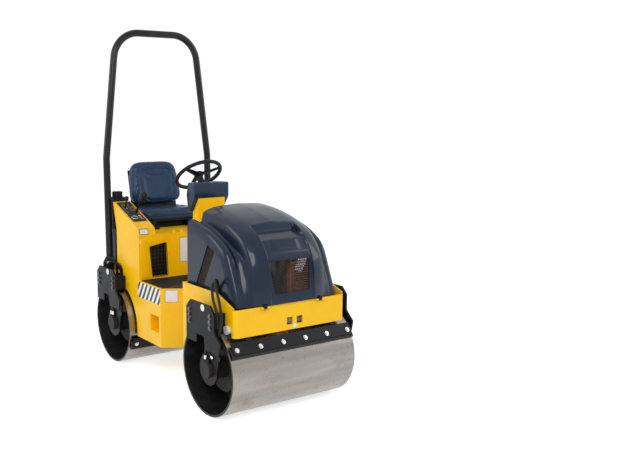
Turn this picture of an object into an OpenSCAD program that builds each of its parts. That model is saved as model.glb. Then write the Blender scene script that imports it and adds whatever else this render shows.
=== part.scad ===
// Ride-on tandem roller with an articulated and oscillating frame.
// X runs across the machine, its front faces -Y, and Z = 0 is the ground.

/* [Drums] */
// Diameter of both drums
drum_d = 560; // [520:5:600]
// Width of both drums
drum_w = 900; // [860:5:940]
// Thickness of the drum shells
drum_wall = 14; // [10:1:20]
// Distance between the two drum axles
wheelbase = 1295; // [1265:5:1330]
// Place of each drum web from the middle of its drum, as a share of the drum length
web_share = 0.25; // [0.23:0.005:0.27]
// Thickness of the drum webs
web_t = 12; // [8:1:18]
// Diameter of the exciter shaft
exciter_d = 50; // [40:1:56]

/* [Frames] */
// Width over the yellow side plates
frame_w = 810; // [800:2:820]
// Thickness of the frame plates
plate_t = 8; // [6:1:10]
// Height of the operator floor
floor_z = 640; // [632:2:648]
// Height of the lower edge of the skirt
skirt_z = 245; // [235:1:260]
// Height of the lower edge of the front bumper
bumper_z = 509; // [502:1:516]
// Height of the upper edge of the front bumper
bumper_top = 671; // [660:1:680]
// Gap between the rear drum and the arch over it
rear_arch_gap = 22; // [16:1:26]
// Gap between the front drum and the arch over it
front_arch_gap = 12; // [10:1:14]

/* [Articulation] */
// Diameter of the upright articulation pin
pin_d = 50; // [40:1:60]
// Diameter of the oscillation spindle
spindle_d = 60; // [50:1:64]
// Height of the middle of the articulation yoke
yoke_z = 460; // [452:1:466]
// Distance of the steering pin from the articulation pin
steer_arm = 130; // [124:1:136]

/* [Drum arms] */
// Thickness of the arm plates
arm_t = 12; // [8:1:16]
// Gap between a drum end and the arm plate outside it
arm_gap = 34; // [30:1:40]
// Diameter of the arm bolts
bolt_d = 14; // [10:1:16]

/* [Hood] */
// Width of the hood
hood_w = 750; // [730:2:770]
// Wall thickness of the hood
hood_wall = 5; // [4:0.5:7]
// Height of the hood at its rear edge
hood_top = 1204; // [1180:2:1212]

/* [Operator station] */
// Height of the top of the seat base
seat_base_z = 953; // [945:1:960]
// Wall thickness of the sheet metal covers
cover_t = 6; // [4:1:8]
// Width of the right console
console_w = 130; // [122:1:140]
// Width of the seat cushion
cushion_w = 440; // [410:5:460]
// Length of the seat cushion
cushion_l = 275; // [255:5:290]
// Thickness of the seat cushion
cushion_h = 74; // [64:1:80]
// Width of the seat back
back_w = 414; // [390:2:430]
// Height of the seat back
back_h = 326; // [305:5:340]
// Diameter of the steering wheel
wheel_d = 340; // [310:5:360]
// Thickness of the steering wheel rim
rim_d = 27; // [22:1:30]

/* [Roll-over hoop] */
// Diameter of the hoop tube
hoop_d = 50; // [44:1:54]
// Wall thickness of the hoop tube
hoop_wall = 4; // [3:0.5:6]
// Height of the top bar's centre line
hoop_top = 2349; // [2250:5:2400]
// Distance between the two upright legs
hoop_w = 844; // [834:2:850]
// Distance between the leg lines at the height of the top bar
hoop_top_w = 640; // [600:5:680]
// Centre line radius of the upper corners
hoop_bend = 200; // [150:5:230]

/* [Hidden] */
$fn = 48;
hex_fn = 6;
soft_fn = 24;

// Overrun of every cut, radial clearance of running fits, and gap between sliding faces
over = 1;
fit = 0.05;
slide_gap = 0.3;

// Drums
drum_r = drum_d / 2;
front_y = -wheelbase / 2;
rear_y = wheelbase / 2;
end_x = drum_w / 2;
web_x = web_share * drum_w;
hub_x1 = end_x - 8;
hub_x0 = hub_x1 - arm_t;
journal_d = 90;
journal_end = hub_x0 - 5;
housing_d = 150;
housing_l = 100;
boss_d = 150;
boss_l = 46;
bearing_d = 110;
bearing_w = 30;
tube_d = 236;
tube_t = 8;
weight_d = 176;
weight_l = 260;

// Drive motor, drive disc and rubber buffers, from the right arm inwards
motor_d = 130;
motor_l = 88;
motor_pilot_d = 100;
motor_port_l = 24;
disc_d = 300;
disc_t = 10;
disc_gap = 2;
buffer_d = 46;
buffer_pitch_d = 220;
buffer_n = 6;
vib_d = 104;
vib_l = 46;
fitting_d = 20;
rear_port_y = -15.5;
port_rise = 15.2;

// Arms: the plate's outline is given from the drum axle
arm_x0 = end_x + arm_gap;
arm_x1 = arm_x0 + arm_t;
side_x = frame_w / 2;
arm_half = 157;
arm_front = -150;
arm_top = 408;
arm_tab_z = 165;
arm_leg_z = 140;
arm_leg_y = -212;
arm_notch_z = 218;
arm_notch_y = 42;
arm_corner = 44;
bolt_y = [120, -108];
bolt_z = [280, 314, 348];
bolt_block_w = 40;
bolt_block_z0 = 264;
bolt_block_z1 = 360;
drum_clear = 8;
link_y0 = -140;
link_y1 = -52;
link_z0 = 152;
link_z1 = 205;
hub_d = 190;
drop_w = 96;
bolt_clear = 0.6;
bolt_head_d = 25;
bolt_head_h = 9;
hose_tab_y = -113;
hose_tab_z = 92;
hose_tab_d = 34;

// Rear frame plan and side outline
nose_y = -90;
nose_x = 250;
skirt_y = 337;
beam_y = 800;
beam_top = 700;
beam_z = 546;
rear_pillar_y = 700;
cheek_y = 648;
hose_hole_y = 611;
hose_hole_z = 662;
hose_hole_d = 110;
step_y = [29, 147];
step_z = [336, 446];
step_deep = 90;
deck_z = 600;
lug_r = 60;
lug_t = 20;
yoke_h = 120;
pivot_y = -195;
steer_base = [-200, 205];
steer_slot_x = [-205, -92];
steer_slot_h = 84;
mat_t = 5;
mat_inset = 16;

// Front frame
front_plate_y = -300;
front_plate_z = 330;
bumper_y = -875;
bumper_corner = 30;
front_side_top = 740;
front_side_y = -693;
front_slope_y = -860;
front_slope_z = 679;
front_low_y = -835;
front_low_z = 546;
engine_deck_z = 585;
spindle_l = 68;
bearing_tube_d = 110;
hole_s = 44;
hole_x = [-39, 35];
hole_z = 540;
shield_x = 328;
shield_top = 1060;
hinge_y = -884;
hinge_z = 664;
hinge_pin_d = 8;
hinge_d = 13;
hinge_x = [170, 190, 214, 234];

// Yoke
barrel_d = 110;
pin_cap_share = 1.5;
flange_t = 22;
washer_l = 12;
washer_d = 74;
steer_pin_d = 24;
eye_d = 50;
eye_h = 28;
lug_plate_t = 12;
steer_tube_d = 48;
steer_rod_d = 25;
steer_tube_l = 262;

// Scrapers and spray tube, round the drum from its axle
front_scraper_angle = 34;
rear_scraper_angle = -18;
scraper_bar_t = 7;
blade_t = 10;
scraper_gap = 20;
scraper_w = 870;
blade_w = 884;
scraper_bolt_n = 6;
scraper_pitch = 162.8;
scraper_up = 46;
scraper_down = 30;
blade_up = 16;
blade_down = 46;
lip_gap = 1.5;
strut_shares = [-0.36, 0, 0.36];
strut_w = 40;
lip_h = 10;
lip_y = sqrt(drum_r * drum_r - pow(blade_down - lip_h, 2)) + lip_gap;
scraper_head_d = 22;
spray_d = 46;
spray_y = 156;
spray_z = 268;
spray_cap_d = 50;
spray_cap_l = 14;

// Seat base, console and their side outline in Y and Z
panel_y = 300;
vent_x = [-324, -195];
vent_z = [662, 889];
vent_slant = 20;
mesh_t = 3;
mesh_pitch = 24;
mesh_bar = 4;
console_front_y = 340;
console_nose_z = 1000;
console_slope_y = [384, 690];
console_slope_z = [1030, 1149];
console_rear_y = 700;
panel_t = 4;
panel_inset = 14;
panel_a_share = [0.06, 0.36];
panel_b_share = [0.40, 0.94];
knob_d = 22;
knob_h = 14;
knob_x = [-120, -60, 60, 120];

// Water tank with its filler tower, and the battery
tank_half = 384;
tank_y = [706, 800];
tank_top = 952;
tower_x = [-392, -282];
tower_top = 1176;
neck_d = 52;
neck_h = 10;
cap_d = 76;
cap_h = 42;
cap_x = -345;
cap_rib = 4;
cap_rib_n = 10;
battery_x = [-250, -70];
battery_y = [380, 560];
battery_h = 175;
post_d = 18;
post_h = 14;
post_share = 0.25;
tank_t = 6;

// Hoop feet
hoop_y = 740;
hoop_z = 712.6;
hoop_knee_z = 1461;
hoop_lean = 1.19;
foot_t = 12;
foot_x = [388, 455];
foot_y = [697, 785];
gusset_h = 44;
foot_bolt_d = 12;
foot_head_share = 1.6;
foot_bolt_shares = [0.15, 0.85];

// Dash column, dash box and steering column
column_half = 104;
column_y = [14, 84];
dash_half = 137;
dash_y = [10, 82, 107, 120, 100];
dash_z = [1219, 1119, 1164, 1231, 1316];
wheel_y = 181;
wheel_z = 1358;
wheel_tilt = 37.6;
column_d = 46;
column_l = [22, 150];
hub_wheel_d = 62;
hub_wheel_h = 34;
shaft_wheel_d = 22;
spoke_w = 26;
spoke_t = 9;
spoke_angles = [90, 210, 330];
key_x = -96;
key_z = 1282;
key_d = 20;
key_l = 20;
key_t = 3;
bow_w = 26;
bow_t = 5;
bow_h = 22;
horn_x = 96;
horn_z = 1282;
horn_d = 24;
horn_l = 12;
horn_sink = 4;
horn_travel = 3;

// Seat: the pan slides on the rails and carries both pads
rail_x = 150;
rail_w = 26;
rail_h = 22;
rail_y = [500, 760];
pan_z = 1012;
pan_t = 10;
pan_inset = 15;
back_lean = 12;
back_y = 801;
back_z = 1104;
back_h0 = 30;
back_t = 76;
shell_t = 9;
pad_gap = 0.4;
pad_sides = 32;
pad_corner = 5;
pad_crown = 18;
back_taper_share = 0.16;
pad_rim_share = [[0.5, 0, 0], [0.88, 0, 0], [0.95, 0.06, 0], [0.97, 0.2, 0], [1, 0.5, 0], [0.985, 0.72, 0.2],
  [0.95, 0.84, 0.6], [0.88, 0.9, 1], [0.76, 0.92, 1], [0.6, 0.93, 1], [0.42, 0.93, 1], [0.22, 0.93, 1]];
bolster_share = 0.7;
channel_share = 0.5;
channel_at_share = 0.24;
channel_wide_share = 0.05;

// Levers
lever_x = -300;
lever_y = 560;
lever_z = 1074;
lever_l = 150;
lever_tilt = 45;
lever_d = 16;
grip_d = 54;
grip_l = 74;
lever_hub_d = 34;
lever_hub_w = 24;
lever_pin_d = 12;
throttle_x = -352;
throttle_y = 616;
throttle_z = 1092;
throttle_l = 84;
throttle_tilt = 20;
throttle_d = 9;
throttle_knob_d = 28;
throttle_hub_d = 24;
throttle_hub_w = 12;
throttle_pin_d = 8;
ear_t = 6;
slot_over = 1.5;
lever_cut = [130, 240];
throttle_cut = [206, 286];

// Hood: two profiles from the rear edge to the lower front, crown and crest
hood_y = -302;
hood_z = 673;
hood_half = hood_w / 2;
hood_front_y = -896;
crown_y_shares = [-0, 0.165, 0.3333, 0.4848, 0.6094, 0.7037, 0.7795, 0.8485, 0.9057, 0.9529, 0.9798,
  0.9966, 1];
crown_z_shares = [1, 0.9812, 0.9473, 0.9021, 0.8493, 0.8004, 0.7439, 0.6648, 0.5782, 0.4689, 0.3333,
  0.1638, 0];
crest_y_shares = [-0, 0.165, 0.3333, 0.4848, 0.5859, 0.6768, 0.734, 0.7744, 0.8114, 0.8451, 0.8754,
  0.9024, 0.9192];
crest_z_shares = [0.8606, 0.8267, 0.7797, 0.7213, 0.6648, 0.5932, 0.5104, 0.42, 0.322, 0.2316, 0.1488,
  0.0659, 0];
recess_y_shares = [0.6094, 0.633, 0.8081, 0.8889, 0.9091, 0.9731, 0.9798];
recess_z_shares = [0.8606, 0.7552, 0.6836, 0.5443, 0.4934, 0.0923, -0.0245];
crown_y = hood_y_at(crown_y_shares);
crown_z = hood_z_at(crown_z_shares);
crest_y = hood_y_at(crest_y_shares);
crest_z = hood_z_at(crest_z_shares);
recess_y = hood_y_at(recess_y_shares);
recess_z = hood_z_at(recess_z_shares);
groove = [40, 46, 50, 54, 54, 46, 30, 18, 12, 8, 6, 4, 0];
column_x_shares = [0, 0.4, 0.58, 0.68, 0.735, 0.8, 0.85, 0.92, 0.975, 1, 1];
column_crest_shares = [0, 0, 0.02, 0.1, 0.6, 0.9, 1, 1, 1, 1, 1];
column_groove_shares = [0, 0, 0, 0, 1, 0.75, 0.06, 0, 0, 0, 0];
column_drop = [0, 8, 20, 30, 12, 2, 4, 4, 22, 60, 70];
recess_x = 158;
window_x = [126, 149];
window_z = [733, 922];
window_corner = 22;
side_vent = [[-540, 1004], [-616, 970], [-490, 742], [-396, 730]];
grille_t = 3;
grille_pitch = 24;
grille_bar = 4;
grille_back = 10.3;
vent_back = 12;
vent_cells = 16;
side_vent_frame = [[-532, 1022], [-636, 976], [-500, 724], [-376, 712]];
hinge_rise = 22;
hinge_reach = 18;

// Engine on its deck: crankshaft height, block, cooler and what surrounds it
crank_z = 780;
block_x = 130;
block_y = [-690, -500];
block_z = [626, 900];
head_x = 96;
head_h = 74;
fin_t = 4;
fin_pitch = 11;
fin_n = 8;
foot_w = 50;
head_y_share = 0.25;
filter_neck = 60;
oil_filter_d = 76;
crank_nose = 14;
fan_y = -742;
fan_d = 270;
fan_t = 26;
fan_hub_d = 70;
fan_blades = 7;
fan_pitch = 35;
shaft_d = 30;
cooler_x = [40, 225];
cooler_y = [-804, -768];
cooler_z = [640, 930];
cooler_tank = 22;
cooler_pitch = 14;
muffler_d = 112;
muffler_y = -430;
muffler_z = 940;
muffler_x = [-60, 250];
muffler_pipe_z = 882;
pipe_d = 34;
filter_d = 128;
filter_x = -236;
filter_y = [-640, -450];
filter_z = 900;
pump_d = 110;
pump_l = 120;
pump_flange_share = 1.4;
pump_port_share = 0.7;
fuel_x = [150, 326];
fuel_y = [-480, -330];
fuel_z = 820;

// Hose diameters and routes
hose_d = 16;
hose_pitch = 24;
hose_sides = 8;
hose_steps = 2;
elbow_d = 22;
elbow_l = 36;
rear_hoses_at = [
  [[-386, 604, 608.3], [-386, 604, 622], [-386, 604, 640], [-389, 606, 660], [-402, 613, 688],
    [-424, 628, 715], [-446, 648, 726], [-463, 669, 714], [-470, 683, 684], [-470, 688, 640],
    [-468, 682, 580], [-465, 662, 495], [-459, 644, 435], [-455, 634, 392], [-454, 632, 366],
    [-454, 632, 345.5]],
  [[-386, 628, 608.3], [-386, 628, 622], [-386, 628, 640], [-388, 629, 658], [-398, 633, 681],
    [-414, 643, 707], [-430, 658, 735], [-445, 678, 752], [-459, 698, 754], [-470, 716, 726],
    [-472, 722, 680], [-470, 716, 610], [-466, 692, 510], [-459, 670, 440], [-455, 659, 395],
    [-454, 656, 366], [-454, 656, 345.5]]];
front_hoses_at = [
  [[-386, -640, 593.3], [-386, -640, 620], [-386, -640, 660], [-386, -641, 712], [-387, -645, 746],
    [-398, -656, 778], [-420, -676, 796], [-444, -702, 792], [-463, -730, 764], [-470, -752, 720],
    [-471, -780, 672], [-471, -798, 620], [-468, -802, 578], [-462, -792, 545], [-459, -765, 527],
    [-459, -725, 521], [-459, -690, 512], [-459, -666, 486], [-459, -655, 450], [-457, -647, 410],
    [-454.5, -640.5, 374], [-454, -639, 345.5]],
  [[-386, -664, 593.3], [-386, -664, 620], [-386, -664, 660], [-386, -666, 722], [-387, -671, 768],
    [-398, -684, 804], [-420, -706, 824], [-444, -734, 822], [-461, -766, 796], [-466, -796, 748],
    [-465, -818, 690], [-465, -830, 630], [-467, -829, 578], [-471, -812, 533], [-475, -778, 509],
    [-475, -738, 503], [-475, -706, 500], [-475, -687, 483], [-474, -682, 456], [-472, -686, 428],
    [-470, -702, 403], [-468, -724, 386], [-467, -748.6, 375]]];

// Places worked out from the sizes above
pan_rear = back_y + (back_t / 2 + pad_gap) * cos(back_lean) + (pan_z - back_z - shell_t) * sin(back_lean);
seat_y = pan_rear - pad_gap - cushion_l;
pan_y = [seat_y + pan_inset, pan_rear + shell_t];
console_slope = [console_slope_y[1] - console_slope_y[0], console_slope_z[1] - console_slope_z[0]];
console_angle = atan2(console_slope[1], console_slope[0]);
console_len = norm(console_slope);
lever_slot = [side_x + lever_x - lever_hub_w / 2, side_x + lever_x + lever_hub_w / 2,
  lever_cut[0], lever_cut[1]];
throttle_slot = [side_x + throttle_x - throttle_hub_w / 2, side_x + throttle_x + throttle_hub_w / 2,
  throttle_cut[0], throttle_cut[1]];
steer_to = [-steer_arm, pivot_y];
steer_len = norm(steer_to - steer_base);
steer_turn = atan2(steer_to[1] - steer_base[1], steer_to[0] - steer_base[0]);

// Shared shapes
module box(x, y, z) {
  translate([x[0], y[0], z[0]]) cube([x[1] - x[0], y[1] - y[0], z[1] - z[0]]);
}
module slab_x(x, t) {
  translate([x, 0, 0]) rotate([90, 0, 90]) linear_extrude(t) children();
}
module rod_x(x0, x1, d, y = 0, z = 0) {
  translate([x0, y, z]) rotate([0, 90, 0]) cylinder(d = d, h = x1 - x0);
}
module rod_y(y0, y1, d, x = 0, z = 0) {
  translate([x, y0, z]) rotate([-90, 0, 0]) cylinder(d = d, h = y1 - y0);
}
module rod_z(z0, z1, d, x = 0, y = 0) {
  translate([x, y, z0]) cylinder(d = d, h = z1 - z0);
}
module both_sides() {
  children();
  mirror([1, 0, 0]) children();
}
function mid(a, b, t) = a + (b - a) * t;

// A hose: a smooth curve through hand-set points, swept with a round section
function curve_at(p, i, t) = let (a = p[max(i - 1, 0)], b = p[i], c = p[i + 1], d = p[min(i + 2, len(p) - 1)])
  0.5 * (2 * b + (c - a) * t + (2 * a - 5 * b + 4 * c - d) * t * t + (3 * b - a - 3 * c + d) * t * t * t);
function curve(p, n) = [for (i = [0:len(p) - 2], k = [0:n - 1]) curve_at(p, i, k / n), p[len(p) - 1]];
function unit(v) = v / norm(v);
function turn(u, t) = unit(u - t * (u * t));
function frames(c, i = 0, u = [1, 0, 0]) = i == len(c) ? [] :
  let (t = unit(c[min(i + 1, len(c) - 1)] - c[max(i - 1, 0)]), v = turn(u, t))
  concat([[c[i], v, cross(t, v)]], frames(c, i + 1, v));
module hose(route, d) {
  f = frames(curve(route, hose_steps));
  n = hose_sides;
  last = len(f) - 1;
  pts = [for (r = f, k = [0:n - 1]) r[0] + d / 2 * (r[1] * cos(360 * k / n) + r[2] * sin(360 * k / n))];
  sides = [for (i = [0:last - 1], k = [0:n - 1], h = [0, 1]) let (a = i * n + k, b = i * n + (k + 1) % n)
    h == 0 ? [b, a, b + n] : [b + n, a, a + n]];
  ends = [[for (k = [0:n - 1]) k], [for (k = [n - 1:-1:0]) last * n + k]];
  polyhedron(pts, concat(sides, ends));
}

// A rectangular mesh of bars with a border, from [x0, x1] and [y0, y1] in its own plane
module mesh(x, y, pitch, bar, t) {
  nx = floor((x[1] - x[0] - bar) / pitch);
  ny = floor((y[1] - y[0] - bar) / pitch);
  px = (x[1] - x[0] - bar) / nx;
  py = (y[1] - y[0] - bar) / ny;
  linear_extrude(t) difference() {
    translate([x[0], y[0]]) square([x[1] - x[0], y[1] - y[0]]);
    for (i = [0:nx - 1], k = [0:ny - 1])
      translate([x[0] + bar + i * px, y[0] + bar + k * py]) square([px - bar, py - bar]);
  }
}

// Rear frame: skirt box with step pockets, side plates over the drum, deck, and lugs
module nose_plan(t) {
  m = -nose_y / (side_x - nose_x);
  s = sqrt(1 + m * m);
  x1 = side_x - t;
  y1 = t * (s - m);
  x0 = nose_x - t * (s - 1) / m;
  y2 = skirt_y + plate_t - t;
  polygon([[-x1, y2], [-x1, y1], [-x0, nose_y + t], [x0, nose_y + t], [x1, y1], [x1, y2]]);
}
module bolt_pads(y0) {
  difference() {
    for (y = bolt_y)
      translate([y0 + y - bolt_block_w / 2, drum_r + bolt_block_z0])
        square([bolt_block_w, bolt_block_z1 - bolt_block_z0]);
    translate([y0, drum_r]) circle(drum_r + drum_clear);
  }
}
module rear_side_outline() {
  edge = skirt_y + plate_t;
  sill = hose_hole_z - hose_hole_d / 2;
  difference() {
    polygon([[0, skirt_z], [edge, skirt_z], [edge, drum_r], [rear_y, drum_r], [rear_y, beam_z],
      [beam_y, beam_z], [beam_y, beam_top], [rear_pillar_y, beam_top], [rear_pillar_y, sill],
      [cheek_y, sill], [cheek_y, floor_z], [0, floor_z]]);
    translate([rear_y, drum_r]) circle(drum_r + rear_arch_gap, $fn = 96);
    translate([hose_hole_y, hose_hole_z]) circle(d = hose_hole_d);
    translate([step_y[0], step_z[0]]) square([step_y[1] - step_y[0], step_z[1] - step_z[0]]);
  }
  bolt_pads(rear_y);
}
module step_pocket() {
  difference() {
    box([side_x - step_deep, side_x - plate_t / 2], [step_y[0] - plate_t, step_y[1] + plate_t],
      [step_z[0] - plate_t, step_z[1] + plate_t]);
    box([side_x - step_deep + plate_t, side_x + over], step_y, step_z);
  }
}
module arm_bolt_holes(y0) {
  for (y = bolt_y, z = bolt_z)
    rod_x(side_x - plate_t - over, arm_x1 + over, bolt_d + bolt_clear, y0 + y, drum_r + z);
}
module steer_lugs(at, y1, r) {
  for (s = [0, 1]) mirror_z(s, yoke_z)
    translate([0, 0, yoke_z + eye_h / 2 + slide_gap]) linear_extrude(lug_plate_t) {
      translate(at) circle(r);
      translate([at[0] - r, min(at[1], y1)]) square([2 * r, abs(y1 - at[1])]);
    }
}
module mirror_z(s, z) {
  translate([0, 0, z]) mirror([0, 0, s]) translate([0, 0, -z]) children();
}
module rear_frame() {
  lug_z = yoke_z + yoke_h / 2 + slide_gap;
  inner_x = side_x - plate_t / 2;
  color("gold") difference() {
    union() {
      translate([0, 0, skirt_z]) linear_extrude(floor_z - skirt_z) difference() {
        nose_plan(0);
        nose_plan(plate_t);
      }
      for (z = [skirt_z, floor_z - plate_t])
        translate([0, 0, z]) linear_extrude(plate_t) nose_plan(0);
      both_sides() slab_x(side_x - plate_t, plate_t) rear_side_outline();
      both_sides() step_pocket();
      box([-inner_x, inner_x], [skirt_y, beam_y], [deck_z, deck_z + plate_t]);
      box([-inner_x, inner_x], [beam_y - plate_t, beam_y], [beam_z, deck_z + plate_t]);
      for (s = [0, 1]) mirror_z(s, yoke_z)
        translate([0, 0, lug_z]) linear_extrude(lug_t) {
          translate([0, pivot_y]) circle(lug_r);
          translate([-lug_r, pivot_y]) square([2 * lug_r, nose_y + plate_t / 2 - pivot_y]);
        }
      steer_lugs(steer_base, skirt_y + plate_t / 2, eye_d / 2);
      rod_z(yoke_z - eye_h / 2 - lug_plate_t, yoke_z + eye_h / 2 + lug_plate_t, steer_pin_d,
        steer_base[0], steer_base[1]);
    }
    rod_z(yoke_z - yoke_h, yoke_z + yoke_h, pin_d + 2 * fit, 0, pivot_y);
    box(steer_slot_x, [nose_y - over, nose_y + plate_t + over],
      [yoke_z - steer_slot_h / 2, yoke_z + steer_slot_h / 2]);
    both_sides() box([side_x - plate_t - over, side_x + over], step_y, step_z);
    both_sides() arm_bolt_holes(rear_y);
  }
}
module floor_mat() {
  color("dimgray") difference() {
    translate([0, 0, floor_z]) linear_extrude(mat_t) difference() {
      nose_plan(mat_inset);
      translate([-side_x, panel_y - slide_gap]) square([frame_w, skirt_y]);
      translate([-column_half - slide_gap, column_y[0] - slide_gap])
        square([2 * (column_half + slide_gap), column_y[1] - column_y[0] + 2 * slide_gap]);
    }
  }
}

// Seat base housing with its front panel, sides, deck and rear panel
module vent_outline() {
  polygon([[vent_x[0] + vent_slant, vent_z[0]], [vent_x[1] + vent_slant / 2, vent_z[0]],
    [vent_x[1], vent_z[1]], [vent_x[0], vent_z[1] - vent_slant]]);
}
module seat_base() {
  inner_x = side_x - console_w;
  color("gold") difference() {
    union() {
      box([-side_x, side_x], [panel_y, panel_y + cover_t], [floor_z, seat_base_z]);
      both_sides() box([side_x - cover_t, side_x], [panel_y, cheek_y], [floor_z, seat_base_z]);
      box([-inner_x - cover_t, side_x], [panel_y, cheek_y], [seat_base_z - cover_t, seat_base_z]);
      box([-side_x, side_x], [cheek_y - cover_t, cheek_y], [floor_z, seat_base_z]);
      for (x = knob_x)
        rod_z(seat_base_z - cover_t / 2, seat_base_z + knob_h, knob_d, x, panel_y + knob_d);
    }
    translate([0, panel_y - over, 0]) mirror([0, 1, 0]) rotate([90, 0, 0])
      linear_extrude(cover_t + 2 * over) vent_outline();
    both_sides() rod_x(side_x - cover_t - over, side_x + over, hose_hole_d, hose_hole_y, hose_hole_z);
    both_sides() box([side_x - cover_t - over, side_x + over], [hose_hole_y, cheek_y + over],
      [floor_z - over, hose_hole_z + hose_hole_d / 2]);
  }
}
module seat_base_grille() {
  edge = 2 * mesh_bar;
  color("black") translate([0, panel_y + cover_t + mesh_t, 0]) rotate([90, 0, 0])
    mesh([vent_x[0] - edge, vent_x[1] + vent_slant / 2 + edge], [vent_z[0] - edge, vent_z[1] + edge],
      mesh_pitch, mesh_bar, mesh_t);
}

// Right console: a sheet shell on the seat base with sloping instrument panels
function console_outline(t) = let (low = seat_base_z - (t > 0 ? over : 0)) [[panel_y + t, low],
  [mid(panel_y, console_front_y, 0.5) + t, console_nose_z - t],
  [console_slope_y[0] + t, console_slope_z[0] - t],
  [console_slope_y[1], console_slope_z[1] - t], [console_rear_y - t, console_slope_z[1] - t],
  [cheek_y - t, low]];
module on_console() {
  translate([-side_x, console_slope_y[0], console_slope_z[0]]) rotate([console_angle, 0, 0]) children();
}
module right_console() {
  color("gold") difference() {
    slab_x(-side_x, console_w) polygon(console_outline(0));
    slab_x(cover_t - side_x, console_w - 2 * cover_t) polygon(console_outline(cover_t));
    on_console() for (s = [lever_slot, throttle_slot])
      box([s[0] - slot_over, s[1] + slot_over], [s[2], s[3]], [-2 * lever_hub_d, 2 * cover_t]);
  }
  color("gold") {
    lever_ears(lever_x, lever_y, lever_z, lever_hub_w, lever_hub_d, lever_pin_d);
    lever_ears(throttle_x, throttle_y, throttle_z, throttle_hub_w, throttle_hub_d, throttle_pin_d);
  }
}
module lever_ears(x, y, z, w, hub, pin) {
  intersection() {
    slab_x(-side_x, console_w) polygon(console_outline(0));
    for (s = [-1, 1]) translate([x + s * (w / 2 + slide_gap + ear_t / 2), 0, 0])
      box([-ear_t / 2, ear_t / 2], [y - hub / 2, y + hub / 2], [z - hub / 2, z + 3 * hub]);
  }
  rod_x(x - w / 2 - ear_t, x + w / 2 + ear_t, pin, y, z);
}
module console_trim() {
  inner = console_w - 2 * panel_inset;
  color("black") {
    on_console() for (p = [panel_a_share, panel_b_share])
      difference() {
        box([panel_inset, panel_inset + inner], [p[0] * console_len, p[1] * console_len], [0, panel_t]);
        for (s = [lever_slot, throttle_slot])
          box([s[0] - slot_over - slide_gap, s[1] + slot_over + slide_gap],
            [s[2] - slide_gap, s[3] + slide_gap], [-over, panel_t + over]);
      }
  }
}

// Roll-over hoop: drawn upright, then leant back about its feet
module ring(d, wall) {
  difference() {
    circle(d = d, $fn = 48);
    circle(d = d - 2 * wall, $fn = 48);
  }
}
module at_hoop() {
  translate([0, hoop_y, hoop_z]) rotate([-hoop_lean, 0, 0]) translate([0, 0, -hoop_z]) children();
}
// Keeps what lies below (-1) or above (1) a plane through the knee, tilted by an angle
module mitre(x, angle, side) {
  h = hoop_top - hoop_z;
  intersection() {
    children();
    translate([x, 0, hoop_knee_z]) rotate([0, angle, 0])
      box([-h / 2, h / 2], [-hoop_d, hoop_d], side > 0 ? [0, h] : [-h, 0]);
  }
}
module bend(angle) {
  r = hoop_bend + hoop_d;
  intersection() {
    rotate_extrude($fn = 96) translate([hoop_bend, 0]) ring(hoop_d + 2 * fit, hoop_wall + 2 * fit);
    box([0, r], [0, r], [-hoop_d, hoop_d]);
    rotate([0, 0, angle]) box([0, r], [-r, 0], [-hoop_d, hoop_d]);
  }
}
module rops_hoop() {
  x0 = hoop_w / 2;
  x1 = hoop_top_w / 2;
  a = atan2(x0 - x1, hoop_top - hoop_knee_z);
  run = hoop_bend * tan((90 - a) / 2);
  end = [x1 + run * sin(a), hoop_top - run * cos(a)];
  color("black") at_hoop() {
    both_sides() {
      mitre(x0, -a / 2, -1) translate([x0, 0, hoop_z])
        linear_extrude(hoop_knee_z - hoop_z + hoop_d) ring(hoop_d, hoop_wall);
      mitre(x0, -a / 2, 1) translate([x0, 0, hoop_knee_z]) rotate([0, -a, 0]) translate([0, 0, -hoop_d])
        linear_extrude(hoop_d + norm([x0 - end[0], end[1] - hoop_knee_z]) + over) ring(hoop_d, hoop_wall);
      translate([x1 - run, 0, hoop_top - hoop_bend]) rotate([90, 0, 0]) rotate([0, 0, a])
        bend(90 - a);
    }
    translate([run - x1 - over, 0, hoop_top]) rotate([0, 90, 0])
      linear_extrude(2 * (x1 - run + over)) ring(hoop_d, hoop_wall);
  }
}
module rops_brackets() {
  color("black") both_sides() {
    box(foot_x, foot_y, [beam_top, beam_top + foot_t]);
    difference() {
      box([side_x, foot_x[1]], foot_y, [beam_top - gusset_h, beam_top + foot_t / 2]);
      box([side_x + cover_t, foot_x[1] + over], foot_y + [cover_t, -cover_t],
        [beam_top - gusset_h + cover_t, beam_top]);
    }
    for (t = foot_bolt_shares)
      rod_z(beam_top + foot_t / 2, beam_top + foot_t + foot_bolt_d / 2, foot_head_share * foot_bolt_d,
        foot_x[1] - foot_bolt_d, mid(foot_y[0], foot_y[1], t));
  }
}

// Dash: a sheet column under a moulded box, with the steering column through its rear face
function dash_outline(t) = [[dash_y[0] + t, dash_z[0]], [dash_y[0] + t, dash_z[4] - t],
  [dash_y[4] - t, dash_z[4] - t], [dash_y[3] - t, dash_z[3]], [dash_y[2] - t, dash_z[2]],
  [dash_y[1], dash_z[1] + t]];
module dash_column() {
  top = mid(dash_z[0], dash_z[1], (column_y[1] - dash_y[0]) / (dash_y[1] - dash_y[0]));
  first = mid(dash_z[0], dash_z[1], (column_y[0] - dash_y[0]) / (dash_y[1] - dash_y[0]));
  color("gold") difference() {
    slab_x(-column_half, 2 * column_half)
      polygon([[column_y[0], floor_z], [column_y[0], first], [column_y[1], top], [column_y[1], floor_z]]);
    box([cover_t - column_half, column_half - cover_t], column_y + [cover_t, -cover_t],
      [floor_z - over, dash_z[1] - 2 * cover_t]);
  }
}
module on_wheel() {
  translate([0, wheel_y, wheel_z]) rotate([-wheel_tilt, 0, 0]) children();
}
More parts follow.
